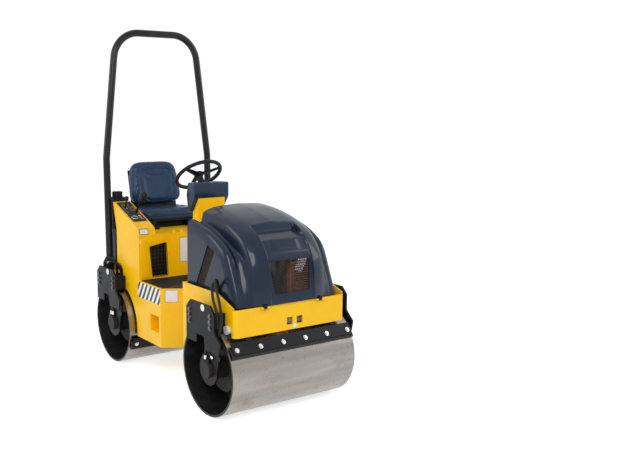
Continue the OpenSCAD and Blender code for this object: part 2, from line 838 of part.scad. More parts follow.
module dash_box() {
  color("black") difference() {
    slab_x(-dash_half, 2 * dash_half) polygon(dash_outline(0));
    difference() {
      slab_x(cover_t - dash_half, 2 * (dash_half - cover_t)) polygon(dash_outline(cover_t));
      on_wheel() rod_z(-column_l[1] - cover_t, 0, column_d + 2 * cover_t);
    }
    on_wheel() rod_z(-column_l[1] - over, over, column_d + 2 * fit);
    on_dash(key_x, key_z) rod_z(-key_l - slide_gap, over, key_d + 2 * fit);
    on_dash(horn_x, horn_z) rod_z(-horn_l - slide_gap, over, horn_d + 2 * fit);
  }
}
module on_dash(x, z) {
  a = atan2(dash_y[3] - dash_y[4], dash_z[4] - dash_z[3]);
  y = dash_y[3] - (z - dash_z[3]) * tan(a);
  translate([x, y, z]) rotate([a - 90, 0, 0]) children();
}
module steering_column() {
  color("dimgray") on_wheel() {
    rod_z(-column_l[1], -column_l[0], column_d);
    rod_z(-column_l[0], hub_wheel_h / 2 - cover_t, shaft_wheel_d);
  }
}
module steering_wheel() {
  color("black") on_wheel() difference() {
    union() {
      rotate_extrude($fn = 96) translate([(wheel_d - rim_d) / 2, 0]) circle(d = rim_d, $fn = 32);
      rod_z(-hub_wheel_h / 2, hub_wheel_h / 2, hub_wheel_d);
      for (a = spoke_angles) rotate([0, 0, a])
        box([hub_wheel_d / 4, (wheel_d - rim_d) / 2], [-spoke_w / 2, spoke_w / 2],
          [-spoke_t / 2, spoke_t / 2]);
    }
    rod_z(-hub_wheel_h, hub_wheel_h / 2 + slide_gap - cover_t, shaft_wheel_d + 2 * fit);
  }
}
module ignition_key() {
  color("silver") on_dash(key_x, key_z) {
    rod_z(-key_l, key_t, key_d);
    box([-bow_w / 2, bow_w / 2], [-bow_t / 2, bow_t / 2], [0, bow_h]);
  }
}
module horn_button() {
  color("red") on_dash(horn_x, horn_z) rod_z(horn_travel - horn_l, horn_travel + horn_sink, horn_d);
}

// Water tank behind the seat base, its cap, and the battery
module water_tank() {
  bottom = deck_z + plate_t;
  color("black") {
    difference() {
      union() {
        box([-tank_half, tank_half], tank_y, [bottom, tank_top]);
        box(tower_x, tank_y, [tank_top - over, tower_top]);
        rod_z(tower_top - over, tower_top + neck_h, neck_d, cap_x, mid(tank_y[0], tank_y[1], 0.5));
      }
      box([tank_t - tank_half, tank_half - tank_t], tank_y + [tank_t, -tank_t],
        [bottom + tank_t, tank_top - tank_t]);
    }
  }
}
module tank_cap() {
  y = mid(tank_y[0], tank_y[1], 0.5);
  z = tower_top + slide_gap;
  color("black") difference() {
    union() {
      rod_z(z, z + cap_h, cap_d - 2 * cap_rib, cap_x, y);
      for (i = [1:cap_rib_n]) translate([cap_x, y, 0]) rotate([0, 0, i * 360 / cap_rib_n])
        rod_z(z, z + cap_h - cap_rib, 2 * cap_rib, cap_d / 2 - cap_rib);
    }
    rod_z(z - over, tower_top + neck_h + slide_gap, neck_d + 2 * slide_gap, cap_x, y);
  }
}
module battery() {
  z = deck_z + plate_t;
  color("dimgray") {
    box(battery_x, battery_y, [z, z + battery_h]);
    for (x = battery_x) rod_z(z + battery_h - over, z + battery_h + post_h, post_d,
      mid(x, mid(battery_x[0], battery_x[1], 0.5), post_share), battery_y[0] + 2 * post_d);
  }
}

// Levers: a hub on its pin, a rod and a grip, drawn upright and tilted forward
module lever(x, y, z, tilt, hub_d, hub_w, pin, d, l, grip_d, grip_l) {
  translate([x, y, z]) rotate([tilt, 0, 0]) difference() {
    union() {
      rod_x(-hub_w / 2, hub_w / 2, hub_d);
      rod_z(0, l, d);
      rod_z(l - over, l + grip_l - grip_d / 2, grip_d);
      translate([0, 0, l + grip_l - grip_d / 2]) sphere(d = grip_d);
    }
    rod_x(-hub_w, hub_w, pin + 2 * fit);
  }
}
module travel_lever() {
  color("black") lever(lever_x, lever_y, lever_z, lever_tilt, lever_hub_d, lever_hub_w, lever_pin_d,
    lever_d, lever_l, grip_d, grip_l);
}
module throttle_lever() {
  color("red") lever(throttle_x, throttle_y, throttle_z, throttle_tilt, throttle_hub_d, throttle_hub_w,
    throttle_pin_d, throttle_d, throttle_l, throttle_knob_d, throttle_knob_d);
}

// Seat: rails on the seat base, a sliding pan, and two pads built from rings
module seat_rails() {
  color("dimgray") both_sides()
    box([rail_x - rail_w / 2, rail_x + rail_w / 2], rail_y, [seat_base_z, seat_base_z + rail_h]);
}
module seat_pan() {
  z0 = seat_base_z + rail_h + slide_gap;
  z1 = pan_z - pad_gap;
  half = cushion_w / 2 - shell_t;
  color("dimgray") {
    box([-half, half], pan_y, [z1 - pan_t, z1]);
    both_sides() {
      box([rail_x - rail_w / 2 - shell_t, rail_x + rail_w / 2 + shell_t], pan_y, [z0, z1]);
      for (s = [-1, 1]) translate([rail_x + s * (rail_w / 2 + slide_gap + ear_t / 2), 0, 0])
        box([-ear_t / 2, ear_t / 2], pan_y, [seat_base_z + slide_gap, z0 + over]);
    }
    translate([0, back_y, back_z]) rotate([-back_lean, 0, 0])
      box([2 * shell_t - back_w / 2, back_w / 2 - 2 * shell_t],
        [back_t / 2 + pad_gap, back_t / 2 + pad_gap + shell_t], [z1 - back_z - shell_t, back_h - 2 * back_h0]);
  }
}
function super(a, w, h, n) = let (c = cos(a), s = sin(a))
  [w * sign(c) * pow(abs(c), 2 / n), h * sign(s) * pow(abs(s), 2 / n)];
// Rings run from the middle of the underside, out round the drawn-in rim, and in over the crown
module pad(w, l, h, corner_n, rim, crown, taper_share = 0) {
  n = pad_sides;
  rings = len(rim);
  pts = [for (r = rim, k = [0:n - 1])
    let (p = super(360 * (k + 0.5) / n, w / 2 * r[0], l / 2 * r[0], corner_n))
    [p[0] * (1 - taper_share * p[1] / l), p[1], h * r[1] + crown * bulge(p[0] / w, p[1] / l, r[2])]];
  mid_low = [0, 0, h * rim[0][1]];
  mid_high = [0, 0, h * rim[rings - 1][1] + crown * bulge(0, 0, rim[rings - 1][2])];
  sides = [for (i = [0:rings - 2], k = [0:n - 1], t = [0, 1]) let (a = i * n + k, b = i * n + (k + 1) % n)
    t == 0 ? [a, b + n, b] : [a, a + n, b + n]];
  low = [for (k = [0:n - 1]) [k, (k + 1) % n, rings * n]];
  high = [for (k = [0:n - 1]) [(rings - 1) * n + (k + 1) % n, (rings - 1) * n + k, rings * n + 1]];
  polyhedron(concat(pts, [mid_low, mid_high]), concat(sides, low, high));
}
// Height over the crown: two side bolsters and a sewn cross channel, as shares of the crown
function bulge(u, v, on) = on * (bolster_share * pow(2 * abs(u), 3)
  - channel_share * exp(-pow((v - channel_at_share) / channel_wide_share, 2)) * (1 - pow(2 * abs(u), 4)));
module seat_cushion() {
  color("black") translate([0, seat_y + cushion_l / 2, pan_z])
    pad(cushion_w, cushion_l, cushion_h, pad_corner, pad_rim_share, pad_crown);
}
module seat_back() {
  color("black") translate([0, back_y, back_z]) rotate([90 - back_lean, 0, 0])
    translate([0, back_h / 2, -back_t / 2])
      pad(back_w, back_h, back_t, pad_corner, pad_rim_share, pad_crown, back_taper_share);
}

// Arm with its plate, spacer blocks, link, drop plate and hub, drawn for +X about the axle
module arm_outline() {
  polygon([[arm_half, arm_tab_z], [arm_half, arm_top - arm_corner], [arm_half - arm_corner, arm_top],
    [arm_front + arm_corner, arm_top], [arm_front, arm_top - arm_corner], [arm_front, bolt_block_z0],
    [arm_leg_y, link_z1], [arm_leg_y + arm_t, arm_leg_z], [link_y1, arm_leg_z],
    [arm_front + drop_w + arm_t, arm_notch_z], [arm_notch_y, arm_notch_z], [arm_notch_y, arm_tab_z]]);
}
module arm(y0, bearing, journal, hole) {
  color("dimgray") difference() {
    translate([0, y0, drum_r]) union() {
      slab_x(arm_x0, arm_t) arm_outline();
      for (y = bolt_y) difference() {
        box([side_x, arm_x0 + arm_t / 2], [y - bolt_block_w / 2, y + bolt_block_w / 2],
          [bolt_block_z0, bolt_block_z1]);
        rod_x(side_x - over, arm_x1, drum_d + 2 * drum_clear);
      }
      box([hub_x0, arm_x0 + arm_t / 2], [link_y0, link_y1], [link_z0, link_z1]);
      slab_x(hub_x0, arm_t) {
        polygon([[link_y0, link_z1], [link_y1, link_z1], [drop_w / 2, 0], [-hub_d / 2, 0]]);
        circle(d = hub_d);
        translate([hose_tab_y, hose_tab_z]) circle(d = hose_tab_d);
      }
      if (bearing) rod_x(hub_x0 - housing_l, hub_x0 + arm_t / 2, housing_d);
    }
    arm_bolt_holes(y0);
    if (bearing) rod_x(hub_x0 - housing_l - over, hub_x0, journal + 2 * fit, y0, drum_r);
    if (hole > 0) rod_x(hub_x0 - over, hub_x1 + over, hole, y0, drum_r);
  }
}
module right_arm(y0) {
  mirror([1, 0, 0]) arm(y0, false, 0, motor_pilot_d + 2 * fit);
}
module rear_arm_right() { right_arm(rear_y); }
module rear_arm_left() { arm(rear_y, true, journal_d, 0); }
module front_arm_right() { right_arm(front_y); }
module front_arm_left() { arm(front_y, true, journal_d, exciter_d + 2 * slide_gap); }
module arm_bolts(y0) {
  both_sides() for (y = bolt_y, z = bolt_z) {
    rod_x(side_x - plate_t, arm_x1 + over, bolt_d, y0 + y, drum_r + z);
    translate([arm_x1, y0 + y, drum_r + z]) rotate([0, 90, 0])
      cylinder(d = bolt_head_d, h = bolt_head_h, $fn = hex_fn);
  }
}

// Wheel motor on the right arm, and the drive disc with its buffers on the drum
module drive_motor(y0) {
  color("dimgray") translate([0, y0, drum_r]) mirror([1, 0, 0]) {
    rod_x(hub_x0 - motor_l, hub_x0, motor_d);
    rod_x(hub_x0 - over, hub_x1 + motor_port_l, motor_pilot_d);
    translate([hub_x1 + motor_port_l / 2, 0, 0]) for (k = [0, 1])
      rod_z(motor_pilot_d / 2 - fitting_d / 4, motor_pilot_d / 2 + port_rise, fitting_d, 0,
        rear_port_y + k * hose_pitch);
  }
}
module front_drive_motor() { drive_motor(front_y); }
module rear_drive_motor() { drive_motor(rear_y); }
module drive_disc(y0) {
  x1 = hub_x0 - motor_l - disc_gap;
  color("black") translate([0, y0, drum_r]) mirror([1, 0, 0]) {
    rod_x(x1 - disc_t, x1, disc_d);
    for (i = [1:buffer_n]) rotate([i * 360 / buffer_n, 0, 0])
      rod_x(web_x + web_t / 2, x1 - disc_t / 2, buffer_d, 0, buffer_pitch_d / 2);
  }
}
module front_drive_disc() { drive_disc(front_y); }
module rear_drive_disc() { drive_disc(rear_y); }

// Drum: shell, webs, left journal and, with an exciter, bearing bosses and an oil tube
module drum(y0, exciter) {
  bore = drum_d - 2 * drum_wall;
  color("silver") translate([0, y0, drum_r]) difference() {
    union() {
      difference() {
        rod_x(-end_x, end_x, drum_d, $fn = 96);
        rod_x(-end_x - over, end_x + over, bore, $fn = 96);
      }
      for (s = [-1, 1]) rod_x(s * web_x - web_t / 2, s * web_x + web_t / 2, bore + drum_wall, $fn = 96);
      rod_x(web_x, journal_end, journal_d);
      if (exciter) {
        for (s = [-1, 1]) rod_x(s * web_x - boss_l / 2, s * web_x + boss_l / 2, boss_d);
        difference() {
          rod_x(-web_x, web_x, tube_d);
          rod_x(-web_x + web_t / 2, web_x - web_t / 2, tube_d - 2 * tube_t);
        }
      }
    }
    if (exciter) {
      rod_x(-web_x - bearing_w / 2, end_x, exciter_d + 2 * slide_gap);
      both_sides() rod_x(web_x - boss_l, web_x + bearing_w / 2, bearing_d + 2 * fit);
    }
  }
}
module front_drum() { drum(front_y, true); }
module rear_drum() { drum(rear_y, false); }
module exciter_shaft() {
  color("silver") translate([0, front_y, drum_r]) {
    rod_x(-web_x - bearing_w / 2 + over, hub_x1 - slide_gap, exciter_d);
    difference() {
      rod_x(-weight_l / 2, weight_l / 2, weight_d);
      box([-weight_l, weight_l], [-weight_d, weight_d], [0, weight_d]);
    }
  }
}
module exciter_bearings() {
  color("silver") translate([0, front_y, drum_r]) both_sides() difference() {
    rod_x(web_x - bearing_w / 2, web_x + bearing_w / 2, bearing_d);
    rod_x(0, end_x, exciter_d + 2 * fit);
  }
}
module vibration_motor() {
  color("dimgray") translate([0, front_y, drum_r]) {
    rod_x(hub_x1, hub_x1 + vib_l, vib_d);
    translate([hub_x1 + vib_l / 2, 0, 0]) for (s = [-1, 1])
      rod_z(vib_d / 2 - fitting_d / 4, vib_d / 2 + fitting_d, fitting_d, 0, s * fitting_d);
  }
}

// Articulation: pin in the rear lugs, yoke on the pin, and the front frame on the yoke's spindle
module articulation_pin() {
  half = yoke_h / 2 + slide_gap + lug_t;
  color("silver") {
    rod_z(yoke_z - half, yoke_z + half, pin_d, 0, pivot_y);
    rod_z(yoke_z + half, yoke_z + half + cover_t, pin_cap_share * pin_d, 0, pivot_y);
  }
}
module centre_yoke() {
  spindle_y = front_plate_y - spindle_l;
  flange_y = front_plate_y + plate_t + slide_gap;
  color("dimgray") difference() {
    union() {
      rod_z(yoke_z - yoke_h / 2, yoke_z + yoke_h / 2, barrel_d, 0, pivot_y);
      rod_y(flange_y, flange_y + flange_t, yoke_h, 0, yoke_z);
      box([-barrel_d / 3, barrel_d / 3], [front_plate_y + plate_t + flange_t / 2, pivot_y],
        [yoke_z - yoke_h / 3, yoke_z + yoke_h / 3]);
      rod_y(spindle_y - washer_l - slide_gap, front_plate_y + plate_t + flange_t, spindle_d, 0, yoke_z);
      box([-steer_arm + eye_d, -barrel_d / 4], [pivot_y - eye_d / 2, pivot_y + eye_d / 2],
        [yoke_z - eye_h / 2 - lug_plate_t - slide_gap, yoke_z + eye_h / 2 + lug_plate_t + slide_gap]);
      for (s = [0, 1]) mirror_z(s, yoke_z)
        translate([0, 0, yoke_z + eye_h / 2 + slide_gap]) linear_extrude(lug_plate_t) {
          translate([-steer_arm, pivot_y]) circle(d = eye_d);
          translate([-steer_arm, pivot_y - eye_d / 2]) square([steer_arm - barrel_d / 4, eye_d]);
        }
    }
    rod_z(yoke_z - yoke_h, yoke_z + yoke_h, pin_d + 2 * fit, 0, pivot_y);
  }
}
module yoke_nut() {
  y1 = front_plate_y - spindle_l - slide_gap;
  color("silver") difference() {
    rod_y(y1 - washer_l, y1, washer_d, 0, yoke_z);
    rod_y(y1 - washer_l - over, y1 + over, spindle_d + 2 * fit, 0, yoke_z);
  }
}

// Steering cylinder from the rear frame to the yoke's side lug
module along_cylinder() {
  translate([steer_base[0], steer_base[1], yoke_z]) rotate([0, 0, steer_turn]) children();
}
module steer_barrel() {
  color("black") along_cylinder() difference() {
    union() {
      rod_z(-eye_h / 2, eye_h / 2, eye_d);
      box([0, eye_d / 2 + 2 * over], [-eye_d / 3, eye_d / 3], [-eye_h / 2, eye_h / 2]);
      rod_x(eye_d / 2 + over, steer_tube_l, steer_tube_d);
    }
    rod_z(-eye_h, eye_h, steer_pin_d + 2 * fit);
    rod_x(eye_d, steer_tube_l + over, steer_rod_d + 2 * fit);
  }
}
module steer_rod() {
  color("silver") along_cylinder() {
    rod_z(-eye_h / 2, eye_h / 2, eye_d - 2 * over, steer_len);
    rod_x(steer_len - steer_tube_l + eye_d / 4, steer_len, steer_rod_d);
  }
}

// Front frame: rear plate, sides over the drum, bumper, engine deck, spindle tube and hood hinges
module front_side_outline() {
  back = front_plate_y + plate_t;
  difference() {
    polygon([[back, front_plate_z], [back, front_side_top], [front_side_y, front_side_top],
      [front_slope_y, front_slope_z], [bumper_y + bumper_corner, bumper_top],
      [bumper_y + bumper_corner, bumper_z],
      [front_low_y, front_low_z], [front_y, front_low_z], [front_y, front_plate_z]]);
    translate([front_y, drum_r]) circle(drum_r + front_arch_gap, $fn = 96);
    translate([front_y - spray_y, drum_r + spray_z]) circle(d = spray_d + 2 * slide_gap);
  }
  bolt_pads(front_y);
}
module bumper_plan(t) {
  r = bumper_corner - t;
  cx = side_x - bumper_corner;
  cy = bumper_y + bumper_corner;
  polygon(concat([[-cx - r, cy]], [for (a = [180:15:270]) [-cx + r * cos(a), cy + r * sin(a)]],
    [for (a = [270:15:360]) [cx + r * cos(a), cy + r * sin(a)]], [[cx + r, cy]]));
}
module front_frame() {
  back = front_plate_y + plate_t;
  color("gold") difference() {
    union() {
      box([-side_x, side_x], [front_plate_y, back], [front_plate_z, front_side_top]);
      box([-shield_x, shield_x], [front_plate_y, back], [front_side_top - over, shield_top]);
      both_sides() slab_x(side_x - plate_t, plate_t) front_side_outline();
      translate([0, 0, bumper_z]) linear_extrude(bumper_top - bumper_z) difference() {
        bumper_plan(0);
        translate([0, over]) bumper_plan(plate_t);
      }
      box([plate_t / 2 - side_x, side_x - plate_t / 2], [bumper_y + bumper_corner, back],
        [engine_deck_z, engine_deck_z + plate_t]);
      translate([0, 0, engine_deck_z]) linear_extrude(plate_t) bumper_plan(plate_t / 2);
      rod_y(front_plate_y - spindle_l, back, bearing_tube_d, 0, yoke_z);
      both_sides() for (k = [0, 2]) {
        rod_x(hinge_x[k], hinge_x[k + 1], hinge_d, hinge_y, hinge_z);
        box([hinge_x[k], hinge_x[k + 1]], [hinge_y, bumper_y + plate_t / 2],
          [hinge_z - hinge_d / 2, bumper_top]);
      }
      both_sides() rod_x(hinge_x[0], hinge_x[3], hinge_pin_d, hinge_y, hinge_z);
    }
    rod_y(front_plate_y - spindle_l - over, back + over, spindle_d + 2 * fit, 0, yoke_z);
    for (x = hole_x)
      box([x, x + hole_s], [bumper_y - over, bumper_y + plate_t + over], [hole_z, hole_z + hole_s]);
    both_sides() arm_bolt_holes(front_y);
  }
}

// Scrapers: a steel bar over a wider rubber blade, laid against the drum at an angle
module round_drum(y0, a) {
  translate([0, y0, drum_r]) rotate([-a, 0, 0]) children();
}
module scraper_bar(y0, a) {
  r = drum_r + scraper_gap;
  round_drum(y0, a)
    box([-scraper_w / 2, scraper_w / 2], [-r - scraper_bar_t, -r], [-scraper_down, scraper_up]);
}
module scraper_blade(y0, a) {
  r = drum_r + scraper_gap;
  round_drum(y0, a) {
    box([-blade_w / 2, blade_w / 2], [-r, -r + blade_t], [-blade_down, blade_up]);
    box([-blade_w / 2, blade_w / 2], [-r + blade_t / 2, -lip_y], [-blade_down, -blade_down + lip_h]);
  }
}
module scraper_bolts(y0, a) {
  r = drum_r + scraper_gap + scraper_bar_t;
  round_drum(y0, a) for (i = [0:scraper_bolt_n - 1])
    translate([(i - (scraper_bolt_n - 1) / 2) * scraper_pitch, -r, 0]) rotate([90, 0, 0])
      cylinder(d = scraper_head_d, h = bolt_head_h, $fn = hex_fn);
}
module scraper_struts(y0, a, y, z, t) {
  r = drum_r + scraper_gap;
  top_y = y0 - (r + scraper_bar_t / 2) * cos(a) + (scraper_up - over) * sin(a);
  top_z = drum_r + (r + scraper_bar_t / 2) * sin(a) + (scraper_up - over) * cos(a);
  for (x = strut_shares * scraper_w)
    box([x - strut_w / 2, x + strut_w / 2], [min(top_y, y) - t / 2, max(top_y, y) + t / 2],
      [top_z - t / 2, z]);
}
module front_scraper_bar() {
  color("black") {
    scraper_bar(front_y, front_scraper_angle);
    scraper_struts(front_y, front_scraper_angle, bumper_y + plate_t / 2, bumper_z, plate_t);
  }
}
module rear_scraper_bar() {
  color("black") {
    scraper_bar(rear_y, rear_scraper_angle);
    scraper_struts(rear_y, rear_scraper_angle, skirt_y, skirt_z, plate_t);
  }
}
module front_scraper_blade() { color("dimgray") scraper_blade(front_y, front_scraper_angle); }
module rear_scraper_blade() { color("dimgray") scraper_blade(rear_y, rear_scraper_angle); }
module front_bolts() {
  color("silver") {
    arm_bolts(front_y);
    scraper_bolts(front_y, front_scraper_angle);
  }
}
module rear_bolts() {
  color("silver") {
    arm_bolts(rear_y);
    scraper_bolts(rear_y, rear_scraper_angle);
  }
}
module spray_bar() {
  y = front_y - spray_y;
  z = drum_r + spray_z;
  color("white") {
    rod_x(-side_x - cover_t, side_x + cover_t, spray_d, y, z);
    both_sides() rod_x(side_x + slide_gap, side_x + slide_gap + spray_cap_l, spray_cap_d, y, z);
  }
}
module front_hoses() {
  color("black") {
    for (route = front_hoses_at) hose(route, hose_d);
    rod_x(-hub_x1 - elbow_l, -hub_x1, elbow_d, front_y + hose_tab_y, drum_r + hose_tab_z);
  }
}
module rear_hoses() {
  color("black") for (route = rear_hoses_at) hose(route, hose_d);
}

// Engine on the deck, and what hangs round it
module engine_block() {
  z0 = engine_deck_z + plate_t;
  top = block_z[1];
  color("gray") {
    box([-block_x, block_x], block_y, block_z);
    both_sides() for (y = [block_y[0], block_y[1] - foot_w])
      box([block_x - foot_w, block_x], [y, y + foot_w], [z0, block_z[0] + over]);
    for (s = [-1, 1]) {
      y = mid(block_y[0], block_y[1], 0.5 + s * head_y_share);
      rod_z(top - over, top + head_h, head_x, 0, y);
      for (i = [0:fin_n - 2])
        rod_z(top + i * fin_pitch, top + i * fin_pitch + fin_t, head_x + 2 * fin_pitch, 0, y);
      box([-head_x / 2, head_x / 2], [y - head_x / 2, y + head_x / 2],
        [top + head_h - over, top + head_h + fin_pitch]);
    }
    rod_x(block_x - over, block_x + filter_neck, oil_filter_d, mid(block_y[0], block_y[1], 0.5),
      mid(block_z[0], top, post_share));
    rod_y(block_y[0] - crank_nose, block_y[0] + over, shaft_d * 2, 0, crank_z);
  }
}
module engine_fan() {
  y0 = fan_y;
  color("black") {
    rod_y(y0, y0 + fan_t, fan_hub_d, 0, crank_z);
    rod_y(y0 + fan_t - over, block_y[0] - crank_nose - slide_gap, shaft_d, 0, crank_z);
    for (i = [1:fan_blades]) translate([0, y0 + fan_t / 2, crank_z]) rotate([0, i * 360 / fan_blades, 0])
      rotate([0, 0, fan_pitch])
        box([-fin_t / 2, fin_t / 2], [-fan_t / 2, fan_t / 2], [fan_hub_d / 3, fan_d / 2]);
  }
}
module oil_cooler() {
  z0 = engine_deck_z + plate_t;
  t = cooler_y[1] - cooler_y[0];
  rows = floor((cooler_z[1] - cooler_z[0] - 2 * cooler_tank) / cooler_pitch);
  color("sienna") {
    for (z = [cooler_z[0], cooler_z[1] - cooler_tank]) box(cooler_x, cooler_y, [z, z + cooler_tank]);
    for (x = [cooler_x[0], cooler_x[1] - cover_t]) box([x, x + cover_t], cooler_y, cooler_z);
    for (x = [cooler_x[0], cooler_x[1] - foot_w]) box([x, x + foot_w], cooler_y, [z0, cooler_z[0] + over]);
    for (i = [1:rows]) translate([0, 0, cooler_z[0] + cooler_tank + (i - 0.5) * cooler_pitch])
      box([cooler_x[0] + over, cooler_x[1] - over], [cooler_y[0] + t / 4, cooler_y[1] - t / 4],
        [-fin_t / 2, fin_t / 2]);
  }
}
module muffler() {
  color("dimgray") {
    rod_x(muffler_x[0], muffler_x[1], muffler_d, muffler_y, muffler_z);
    rod_y(block_y[1], muffler_y, pipe_d, 0, muffler_pipe_z);
    rod_z(muffler_pipe_z, muffler_z, pipe_d, 0, muffler_y);
    translate([0, muffler_y, muffler_pipe_z]) sphere(d = pipe_d);
  }
}
module air_filter() {
  z0 = engine_deck_z + plate_t;
  y = mid(filter_y[0], filter_y[1], 0.5);
  color("black") {
    rod_y(filter_y[0], filter_y[1], filter_d, filter_x, filter_z);
    rod_y(filter_y[0] - cover_t, filter_y[0] + 2 * cover_t, filter_d + 2 * cover_t, filter_x, filter_z);
    box([filter_x - foot_w / 2, filter_x + foot_w / 2], [y - foot_w / 2, y + foot_w / 2], [z0, filter_z]);
    rod_x(filter_x, -head_x / 2 - fin_pitch - slide_gap, pipe_d,
      mid(block_y[0], block_y[1], 0.5 + head_y_share), filter_z + head_h / 2);
  }
}
module hydraulic_pump() {
  color("dimgray") {
    rod_y(block_y[1], block_y[1] + cover_t, pump_flange_share * pump_d, 0, crank_z);
    rod_y(block_y[1] + cover_t - over, block_y[1] + pump_l, pump_d, 0, crank_z);
    rod_x(-pump_port_share * pump_d, pump_port_share * pump_d, fitting_d, block_y[1] + pump_l / 2, crank_z);
  }
}
module fuel_tank() {
  z0 = engine_deck_z + plate_t;
  color("white") difference() {
    union() {
      box(fuel_x, fuel_y, [z0, fuel_z]);
      rod_z(fuel_z - over, fuel_z + cap_h, neck_d, mid(fuel_x[0], fuel_x[1], 0.5),
        mid(fuel_y[0], fuel_y[1], 0.5));
    }
    box(fuel_x + [tank_t, -tank_t], fuel_y + [tank_t, -tank_t], [z0 + tank_t, fuel_z - tank_t]);
  }
}

// Hood: a lofted shell between the crown and crest profiles, with grooves, a recess and openings
function hood_y_at(shares) = [for (u = shares) hood_y + u * (hood_front_y - hood_y)];
function hood_z_at(shares) = [for (u = shares) hood_z + u * (hood_top - hood_z)];
function tangent(j) = let (a = max(j - 1, 0), b = min(j + 1, len(crown_y) - 1))
  unit([crown_y[b] - crown_y[a], crown_z[b] - crown_z[a]]);
function inward(j) = j == 0 ? [0, -1] : j == len(crown_y) - 1 ? [1, 0] : [-tangent(j)[1], tangent(j)[0]];
// Column i of row j, t inside the skin; the last column closes the skin at the hood's lower edge
function hood_point(i, j, t) = let (k = abs(i), n = inward(j), w = column_crest_shares[k],
  d = column_drop[k] + column_groove_shares[k] * groove[j] + t, foot = hood_z - (t > 0 ? over : 0),
  y = mid(crown_y[j], crest_y[j], w) + n[0] * d, z = mid(crown_z[j], crest_z[j], w) + n[1] * d)
  [sign(i) * column_x_shares[k] * (hood_half - t), j == 0 ? hood_y - t : min(y, hood_y - t),
    j == len(crown_y) - 1 || k == len(column_drop) - 1 ? foot : z];
module hood_loft(t) {
  last = len(column_drop) - 1;
  nc = 2 * last + 1;
  ns = len(crown_y);
  pts = [for (j = [0:ns - 1], i = [-last:last]) hood_point(i, j, t)];
  origin = [0, hood_y - t, hood_z - (t > 0 ? over : 0)];
  grid = [for (j = [0:ns - 2], i = [0:nc - 2], h = [0, 1]) let (a = j * nc + i)
    i < last ? (h == 0 ? [a + nc, a, a + 1] : [a + nc, a + 1, a + nc + 1])
      : (h == 0 ? [a, a + 1, a + nc + 1] : [a, a + nc + 1, a + nc])];
  rear = [for (i = [0:nc - 2]) [i + 1, i, ns * nc]];
  base_loop = concat([for (j = [0:ns - 1]) j * nc], [for (i = [1:nc - 1]) (ns - 1) * nc + i],
    [for (j = [ns - 2:-1:0]) j * nc + nc - 1]);
  base = [for (k = [0:len(base_loop) - 2]) [base_loop[k], base_loop[k + 1], ns * nc]];
  polyhedron(concat(pts, [origin]), concat(grid, rear, base));
}
module hood_recess(t) {
  far = hood_y - hood_top;
  x = recess_x + t;
  last = len(recess_y) - 1;
  translate([0, t, -t]) slab_x(-x, 2 * x)
    polygon(concat([for (i = [0:last]) [recess_y[i], recess_z[i]]],
      [[far, recess_z[last]], [far, hood_top], [recess_y[0], hood_top]]));
}
module window_outline(grow) {
  r = window_corner;
  hull() for (s = [-1, 1]) {
    translate([s * (window_x[0] - r), window_z[0] + r]) circle(r + grow, $fn = soft_fn);
    translate([s * (window_x[1] - r), window_z[1] - r]) circle(r + grow, $fn = soft_fn);
  }
}
module hood_shell() {
  knuckle = [hinge_x[1] + slide_gap, hinge_x[2] - slide_gap];
  color("midnightblue") {
    difference() {
      difference() { hood_loft(0); hood_recess(0); }
      difference() { hood_loft(hood_wall); hood_recess(hood_wall); }
      translate([0, recess_y[2], 0]) rotate([90, 0, 0]) linear_extrude(hood_top) window_outline(0);
      both_sides() slab_x(hood_half - window_corner, hood_half) polygon(side_vent);
      box([-shield_x - slide_gap, shield_x + slide_gap], [hood_y - 2 * hood_wall, hood_y + over],
        [hood_z - 2 * over, shield_top + 2 * window_corner]);
    }
    both_sides() difference() {
      union() {
        rod_x(knuckle[0], knuckle[1], hinge_d, hinge_y, hinge_z);
        box(knuckle, [hinge_y - hinge_d / 2, hinge_y + hinge_d / 2 + over], [hinge_z, hinge_z + hinge_rise]);
        box(knuckle, [hinge_y - hinge_d / 2, hinge_y + hinge_reach],
          [bumper_top + over, hinge_z + hinge_rise]);
      }
      rod_x(hinge_x[0], hinge_x[3], hinge_pin_d + 2 * fit, hinge_y, hinge_z);
    }
  }
}
module hood_grilles() {
  edge = 2 * grille_bar;
  y0 = recess_y[6] + hood_wall + grille_back;
  tilt = atan2(recess_y[4] - recess_y[5], recess_z[4] - recess_z[5]);
  color("black") {
    translate([0, y0, window_z[0]]) rotate([90 - tilt, 0, 0])
      mesh([-window_x[1] - edge, window_x[1] + edge], [-edge, window_z[1] - window_z[0] + edge],
        grille_pitch, grille_bar, grille_t);
    both_sides() slab_x(hood_half - vent_back, grille_t) difference() {
      polygon(side_vent_frame);
      intersection() {
        polygon(side_vent);
        for (i = [0:vent_cells], k = [0:vent_cells])
          translate([side_vent[2][0] + (i - vent_cells / 2) * grille_pitch,
            side_vent[3][1] + k * grille_pitch]) square(grille_pitch - grille_bar);
      }
    }
  }
}

rear_frame();
floor_mat();
seat_base();
seat_base_grille();
right_console();
console_trim();
rops_hoop();
rops_brackets();
dash_column();
dash_box();
steering_column();
seat_rails();
rear_arm_right();
rear_arm_left();
rear_bolts();
rear_drive_motor();
rear_scraper_bar();
rear_scraper_blade();
water_tank();
battery();
articulation_pin();
rear_hoses();
centre_yoke();
yoke_nut();
steer_barrel();
steer_rod();
front_frame();
front_arm_right();
front_arm_left();
front_bolts();
front_drive_motor();
vibration_motor();
front_scraper_bar();
front_scraper_blade();
spray_bar();
front_hoses();
engine_block();
oil_cooler();
muffler();
air_filter();
hydraulic_pump();
fuel_tank();
engine_fan();
front_drum();
front_drive_disc();
exciter_shaft();
exciter_bearings();
rear_drum();
rear_drive_disc();
hood_shell();
hood_grilles();
steering_wheel();
travel_lever();
throttle_lever();
ignition_key();
horn_button();
seat_pan();
seat_cushion();
seat_back();
tank_cap();
